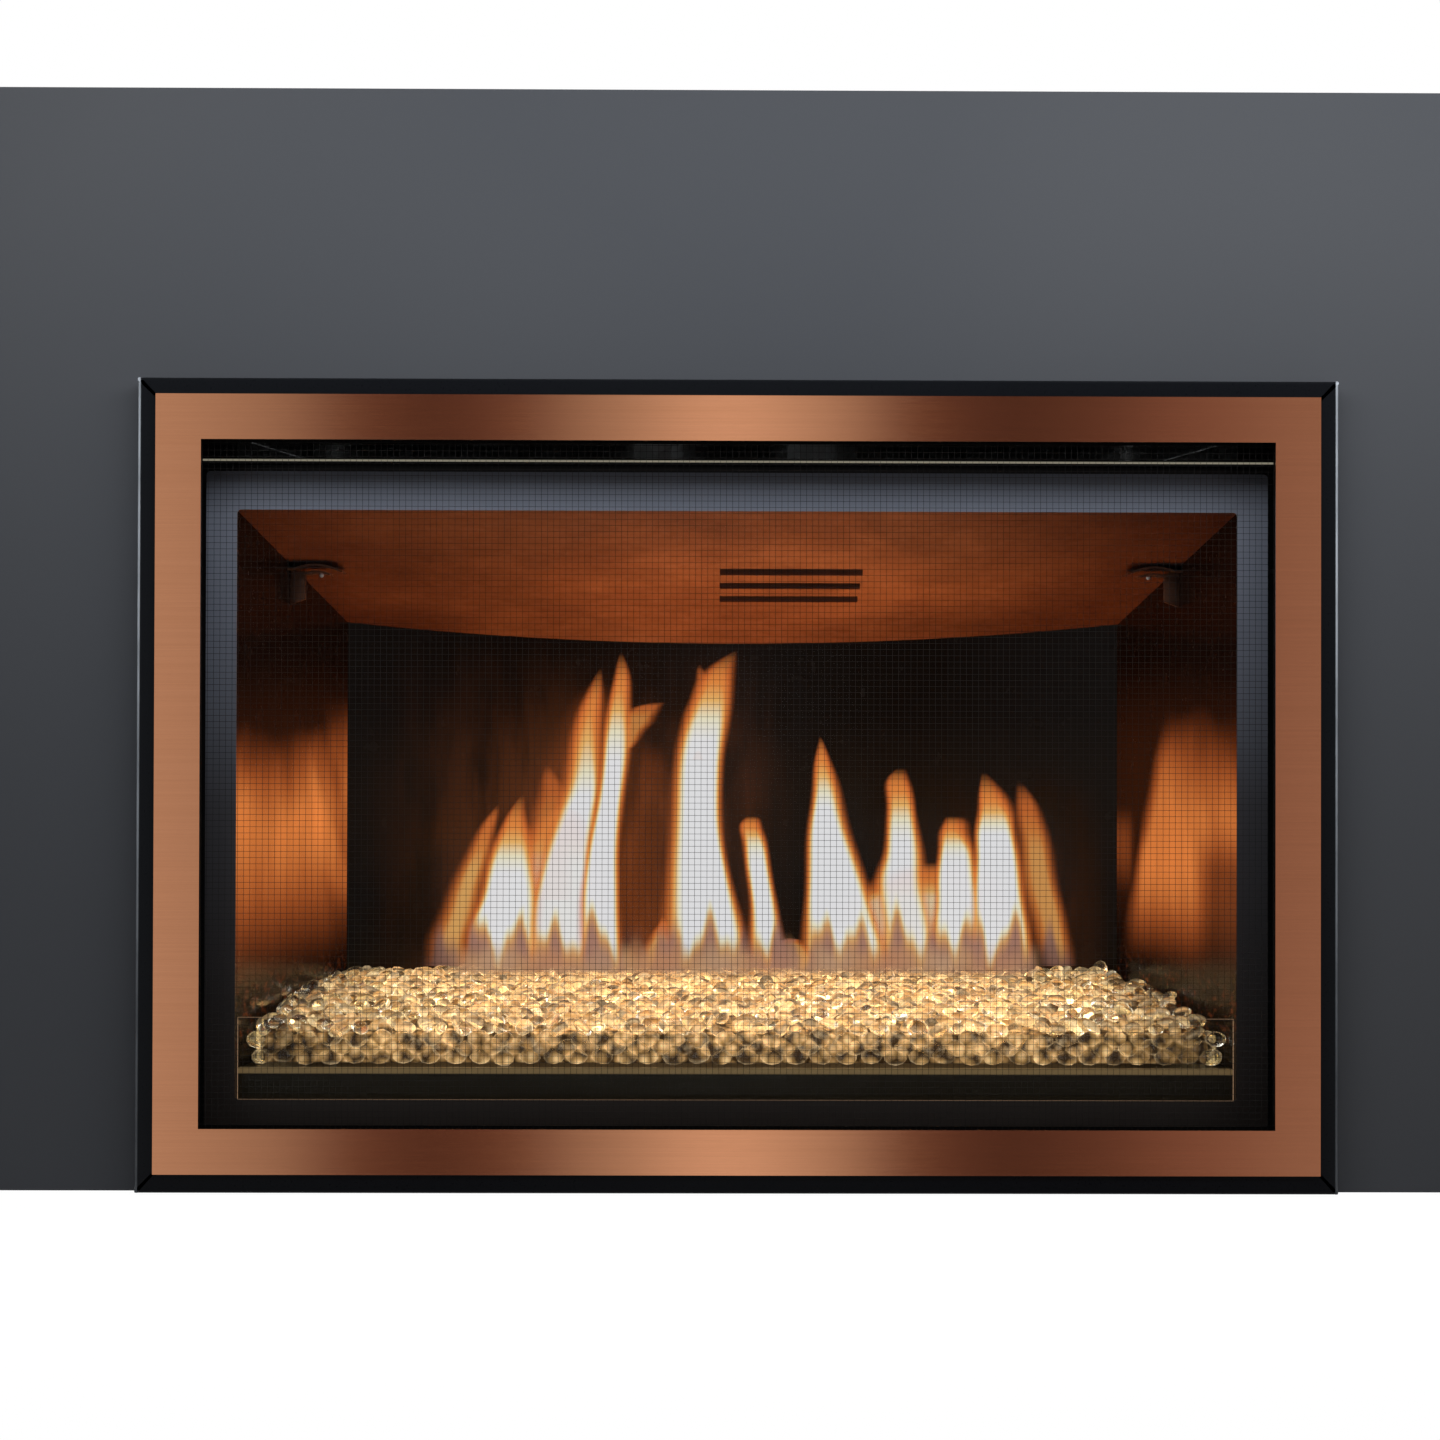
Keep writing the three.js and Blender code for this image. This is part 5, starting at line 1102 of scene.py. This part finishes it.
# ------------------------------------------------------------------ flames
# Each flame is a soft lens of light: its depth behind the wall's face, its heat, and its stations from the
# bead bed to the tip. A station is a height, the outer left edge, the left and right edge of the white heart
# and the outer right edge, all in photograph pixels.
FLAMES = {
    "left_veil": (0.212, 0.60, [
        (966, 422, 440, 452, 468), (938, 427, 446, 458, 472), (904, 443, 458, 468, 484),
        (860, 461, 472, 480, 490), (824, 481, 487, 491, 497), (804, 498, 499, 500, 501),
    ]),
    "left_flame": (0.190, 1.0, [
        (972, 456, 476, 520, 534), (952, 464, 474, 526, 538), (924, 471, 476, 528, 542),
        (892, 480, 487, 526, 540), (852, 489, 497, 524, 536), (820, 505, 511, 520, 529),
        (794, 521, 522, 523, 525),
    ]),
    "second_flame": (0.200, 1.0, [
        (972, 524, 542, 586, 604), (944, 528, 540, 588, 602), (904, 532, 538, 584, 596),
        (860, 540, 549, 582, 594), (816, 552, 567, 588, 598), (780, 562, 580, 594, 601),
        (724, 573, 587, 592, 605), (690, 586, 594, 596, 603), (668, 599, 600, 601, 602),
    ]),
    "second_flame_lobe": (0.214, 0.42, [
        (900, 520, 540, 560, 580), (850, 523, 538, 556, 576), (800, 534, 546, 558, 572),
        (764, 545, 546, 547, 548),
    ]),
    "tall_flame": (0.180, 1.0, [
        (972, 578, 594, 614, 622), (948, 579, 592, 615, 620), (900, 580, 588, 614, 618),
        (860, 587, 592, 614, 619), (800, 597, 603, 617, 623), (740, 602, 608, 622, 630),
        (700, 609, 614, 622, 631), (672, 615, 620, 624, 630), (652, 621, 622, 623, 624),
    ]),
    "tall_flame_wing": (0.186, 0.50, [
        (748, 622, 624, 628, 631), (728, 622, 628, 640, 648), (712, 624, 634, 650, 659),
        (702, 650, 658, 662, 667),
    ]),
    "low_flame": (0.196, 0.62, [
        (972, 624, 644, 664, 682), (954, 636, 650, 666, 678), (934, 652, 658, 665, 671),
        (916, 661, 662, 663, 664),
    ]),
    "great_flame": (0.190, 1.0, [
        (974, 652, 682, 738, 752), (940, 656, 682, 736, 747), (880, 664, 682, 726, 730),
        (825, 669, 684, 716, 721), (770, 674, 687, 717, 723), (725, 681, 693, 720, 729),
        (692, 692, 704, 722, 733), (668, 706, 718, 724, 736), (650, 735, 736, 737, 738),
    ]),
    "great_flame_shoulder": (0.208, 0.45, [
        (760, 676, 690, 704, 716), (720, 683, 694, 706, 714), (690, 693, 699, 706, 713),
        (664, 699, 700, 701, 702),
    ]),
    "small_flame": (0.172, 0.95, [
        (968, 742, 760, 776, 792), (944, 750, 760, 776, 786), (900, 750, 754, 769, 774),
        (850, 744, 749, 762, 767), (826, 741, 746, 756, 763), (816, 744, 748, 752, 758),
    ]),
    "low_link": (0.176, 0.55, [
        (972, 762, 772, 812, 822), (954, 766, 776, 806, 816), (942, 778, 784, 796, 804),
        (938, 786, 788, 790, 794),
    ]),
    "middle_flame": (0.188, 1.0, [
        (972, 796, 812, 878, 892), (938, 801, 812, 873, 884), (900, 806, 810, 862, 872),
        (850, 808, 813, 846, 857), (810, 811, 816, 832, 845), (776, 813, 818, 826, 836),
        (752, 816, 820, 822, 827), (736, 820, 821, 821, 822),
    ]),
    "right_middle_flame": (0.202, 0.95, [
        (972, 880, 896, 926, 936), (930, 878, 893, 923, 934), (885, 875, 888, 915, 928),
        (850, 884, 890, 911, 922), (812, 887, 892, 909, 915), (784, 886, 892, 904, 912),
        (768, 896, 898, 902, 907),
    ]),
    "short_flame": (0.196, 0.95, [
        (972, 932, 942, 978, 990), (930, 933, 940, 974, 984), (890, 935, 939, 970, 980),
        (850, 939, 943, 965, 974), (828, 941, 948, 954, 971), (816, 944, 947, 951, 966),
    ]),
    "right_flame": (0.184, 1.0, [
        (974, 970, 986, 1028, 1040), (935, 970, 980, 1022, 1030), (895, 973, 978, 1017, 1024),
        (850, 976, 980, 1012, 1019), (820, 977, 981, 1006, 1015), (796, 978, 982, 992, 1008),
        (772, 981, 982, 983, 986),
    ]),
    "right_veil": (0.210, 0.55, [
        (966, 1040, 1052, 1064, 1074), (930, 1030, 1046, 1060, 1068), (890, 1020, 1036, 1052, 1060),
        (840, 1016, 1028, 1040, 1050), (808, 1014, 1022, 1032, 1040), (782, 1017, 1020, 1022, 1025),
    ]),
    "left_fill": (0.216, 0.80, [
        (966, 462, 492, 598, 622), (930, 468, 494, 598, 618), (895, 480, 502, 594, 612),
        (860, 500, 522, 588, 606), (825, 530, 548, 575, 598), (800, 560, 566, 570, 576),
    ]),
    "right_fill": (0.216, 0.74, [
        (966, 800, 832, 1008, 1034), (935, 812, 842, 1004, 1026), (905, 830, 862, 998, 1018),
        (880, 868, 900, 988, 1008), (862, 900, 920, 960, 980),
    ]),
    "far_haze_left": (0.246, 0.13, [
        (970, 470, 540, 600, 690), (880, 500, 540, 600, 670), (800, 520, 550, 600, 650),
        (730, 550, 580, 600, 640), (680, 585, 590, 600, 610),
    ]),
    "far_haze_middle": (0.248, 0.10, [
        (970, 620, 640, 660, 690), (880, 616, 630, 655, 676), (800, 630, 640, 655, 680),
        (740, 644, 648, 652, 668),
    ]),
}
LOW_FIRE = (0.198, 440, 1046)  # depth, left and right end in pixels
LOW_FIRE_FOOT, LOW_FIRE_TOP = 980, 940
LOW_FIRE_COLUMNS, LOW_FIRE_ROWS, LOW_FIRE_WAVES = 140, 8, 7
LOW_FIRE_SHIFTS = (-0.02, 0.015)  # one sheet before the burner's line and one behind it
LOW_FIRE_VEIL = 0.58
FLAME_ROWS = 56
FRINGE_COLUMNS, HEART_COLUMNS = 7, 12
FRINGE_SPREAD = 4  # pixels of faint glow outside the listed edges
HEART_INSET = 0.07  # how far the white heart stays inside its listed edges, as a share of the width
LENS_BULGE = 0.45  # thickness of the lens as a share of its width
THICKEST = 0.010
NARROWEST = 0.4  # half width of a tip, in pixels
METRES_PER_PIXEL = 0.00079  # at the flames' depth
HOT = 0.8  # above this heat a flame has a rear sheet too
HOT_VEIL = 0.97
FAINT_VEIL, FAINT_GAIN = 0.85, 1.3  # a fainter flame's veil: this times its heat, and never more than that
EDGE_HEAT = 0.04
TIP_COOLING = 0.58  # share of its heat that a flame loses towards its tip
ROOT_LINE = 925  # height at which the white hearts break up into points
ROOT_POINTS = ((17, 38, 0.8), (8, 17, 0), (5, 61, 0))  # height, spacing and start of the points' waves
ROOT_HEAT = 0.56  # heat left below the points
ROOT_TINT = 0.92
ROOT_FADES = ((0.25, 935, 955), (0.20, 955, 968), (0.55, 966, 976))  # share of the veil lost between heights
ROOT_COLOUR = (0.30, 0.155, 0.125)
FLAME_STRENGTH = 1.06


def flame_finish():
    """Light without substance: heat decides the colour, veil how much of the background shows through."""
    flame = Nodes(bpy.data.materials.new("gas_flame"))
    shade = flame.new("Attribute", attribute_name="fire_shade").outputs["Color"]
    heat, veil, coolness = flame.new("SeparateColor", {0: shade}).outputs
    hot = flame.blend(
        heat, (0.00, (0.50, 0.105, 0.022)), (0.25, (0.60, 0.150, 0.033)), (0.45, (0.68, 0.225, 0.050)),
        (0.62, (0.74, 0.41, 0.13)), (0.80, (0.74, 0.69, 0.50)), (0.95, (0.71, 0.71, 0.73)))
    colour = flame.new("Mix", {0: coolness, 6: hot, 7: ROOT_COLOUR}, data_type="RGBA").outputs[2]
    glow = flame.new("Emission", {"Color": colour, "Strength": FLAME_STRENGTH})
    return flame.show(flame.mix(veil, flame.new("BsdfTransparent"), glow))


def smooth_station(stations, share):
    """The station at a share of the way from root to tip, eased between the given ones."""
    count = len(stations) - 1
    span = min(int(share * count), count - 1)
    t = share * count - span
    before = stations[max(span - 1, 0)]
    a, b = stations[span], stations[span + 1]
    after = stations[min(span + 2, count)]
    return [
        0.5 * (2 * q + (r - p) * t + (2 * p - 5 * q + 4 * r - s) * t * t + (3 * q - p - 3 * r + s) * t ** 3)
        for p, q, r, s in zip(before, a, b, after)
    ]


def root_points(px):
    """Height at which the white of a heart ends: it comes down in uneven points over the burner's ports."""
    return ROOT_LINE + sum(
        size * math.sin(math.tau * px / spacing + start) for size, spacing, start in ROOT_POINTS)


def flame_shade(heat, up, share, px, height):
    """Colour and veil of one point of a flame, from its place between root and tip, edge and heart."""
    hot = heat > HOT
    line = root_points(px)
    warmth = heat * (EDGE_HEAT + (1 - EDGE_HEAT) * smooth_step(share, 0.0, 1.0))
    warmth *= 1 - TIP_COOLING * smooth_step(up, 0.52, 0.84)
    warmth += (min(warmth, ROOT_HEAT) - warmth) * smooth_step(height, line - 6, line + 24)
    veil = HOT_VEIL if hot else min(FAINT_VEIL, FAINT_GAIN * heat)
    veil *= smooth_step(share, 0.0, 0.62 if hot else 0.9) * (1 - smooth_step(up, 0.80, 1.0))
    veil *= 1 - sum(lost * smooth_step(height, top, foot) for lost, top, foot in ROOT_FADES)
    return warmth, veil, ROOT_TINT * smooth_step(height, line + 4, line + 36)


def across_flame(outer_left, heart_left, heart_right, outer_right):
    """The columns of one row: pixel, and share of the way from the outer edge to the heart."""
    for column in range(FRINGE_COLUMNS):
        share = column / FRINGE_COLUMNS
        yield outer_left + (heart_left - outer_left) * share, share
    for column in range(HEART_COLUMNS + 1):
        yield heart_left + (heart_right - heart_left) * (column / HEART_COLUMNS), 1.0
    for column in reversed(range(FRINGE_COLUMNS)):
        share = column / FRINGE_COLUMNS
        yield outer_right - (outer_right - heart_right) * share, share


def flame_lens(points, faces, shades, depth, heat, stations, phase):
    """Front and rear sheet of one flame. Heat and veil fall from the white heart to the outer edges."""
    y = WALL_FACE + depth
    columns = 2 * FRINGE_COLUMNS + HEART_COLUMNS
    hot = heat > HOT
    for side in (-1, 1) if hot else (-1,):
        first = len(points)
        for row in range(FLAME_ROWS + 1):
            up = row / FLAME_ROWS
            height, outer_left, heart_left, heart_right, outer_right = smooth_station(stations, up)
            ripple = 0.8 * math.sin(11 * up + phase) + 0.5 * math.sin(23 * up + 2 * phase)
            inward = HEART_INSET * (outer_right - outer_left)
            heart_left, heart_right = heart_left + inward, heart_right - inward
            if heart_left > heart_right:
                heart_left = heart_right = (heart_left + heart_right) / 2
            outer_left -= FRINGE_SPREAD * (1 - up ** 3)
            outer_right += FRINGE_SPREAD * (1 - up ** 3)
            middle = (outer_left + outer_right) / 2
            half = max((outer_right - outer_left) / 2, NARROWEST)
            thick = side * min(LENS_BULGE * half * METRES_PER_PIXEL, THICKEST)
            for px, share in across_flame(outer_left, heart_left, heart_right, outer_right):
                across = (px - middle) / half
                bulge = thick * math.sqrt(max(0.0, 1 - across * across))
                points.append(at_pixel(px + ripple, height, y + bulge))
                warmth, veil, tint = flame_shade(heat, up, share, px, height)
                if hot:
                    veil = 1 - math.sqrt(max(0.0, 1 - veil))  # two sheets together give the veil
                shades.append((warmth, veil, tint, 1.0))
        for row in range(FLAME_ROWS):
            for column in range(columns):
                a = first + row * (columns + 1) + column
                face = (a, a + 1, a + columns + 2, a + columns + 1)
                faces.append(face if side < 0 else face[::-1])


def low_fire_sheet(points, faces, shades, shift, seed):
    """The thin haze that runs along the whole burner just over the beads."""
    depth, left, right = LOW_FIRE
    y = WALL_FACE + depth + shift
    columns, rows = LOW_FIRE_COLUMNS, LOW_FIRE_ROWS
    maker = random.Random(seed)
    waves = [
        (maker.uniform(5, 26), maker.uniform(0, 6.3), maker.uniform(2, 6)) for _ in range(LOW_FIRE_WAVES)
    ]
    first = len(points)
    for column in range(columns + 1):
        share = column / columns
        px = left + (right - left) * share
        sway = sum(size * math.sin(rate * 6.28 * share + phase) for rate, phase, size in waves)
        crest = LOW_FIRE_TOP + 0.6 * sway
        ends = smooth_step(share, 0, 0.06) * smooth_step(1 - share, 0, 0.06)
        for row in range(rows + 1):
            up = row / rows
            points.append(at_pixel(px, LOW_FIRE_FOOT + (crest - LOW_FIRE_FOOT) * up, y))
            veil = ends * smooth_step(up, 0.0, 0.35) * (1 - smooth_step(up, 0.45, 1.0)) * LOW_FIRE_VEIL
            shades.append((0.52 + 0.16 * math.sin(17 * share + seed) ** 2, veil, 0.62 - 0.2 * up, 1.0))
    for column in range(columns):
        for row in range(rows):
            a = first + column * (rows + 1) + row
            faces.append((a, a + rows + 1, a + rows + 2, a + 1))


def add_flames():
    """The flames have no surface to model by hand, so their sheets of light are set out point by point."""
    points, faces, shades = [], [], []
    for number, (depth, heat, stations) in enumerate(FLAMES.values()):
        flame_lens(points, faces, shades, depth, heat, stations, 1.7 * number)
    for seed, shift in enumerate(LOW_FIRE_SHIFTS):
        low_fire_sheet(points, faces, shades, shift, seed)
    mesh = bpy.data.meshes.new("flames")
    mesh.from_pydata([tuple(point) for point in points], [], faces)
    mesh.validate()
    layer = mesh.color_attributes.new("fire_shade", "FLOAT_COLOR", "POINT")
    layer.data.foreach_set("color", [channel for shade in shades for channel in shade])
    flames = new_object("flames", mesh)
    flames.visible_shadow = False
    finish_piece(flames, flame_finish(), smooth=180)


# ------------------------------------------------------------------ the whole scene
def build():
    bpy.context.scene.view_settings.view_transform = "Standard"
    add_camera()
    add_world()
    add_lights()
    add_floor()
    add_reflection_card()
    materials = {name: make(name, *needs) for name, (make, *needs) in FINISHES.items()}
    finish_nodes(materials)
    add_moulding(materials)
    add_net(materials)
    add_beads()
    add_glowing_bed()
    for side, sign in (("left", -1), ("right", 1)):
        add_clip(side, sign, materials)
    add_screws(materials)
    add_flames()


build()
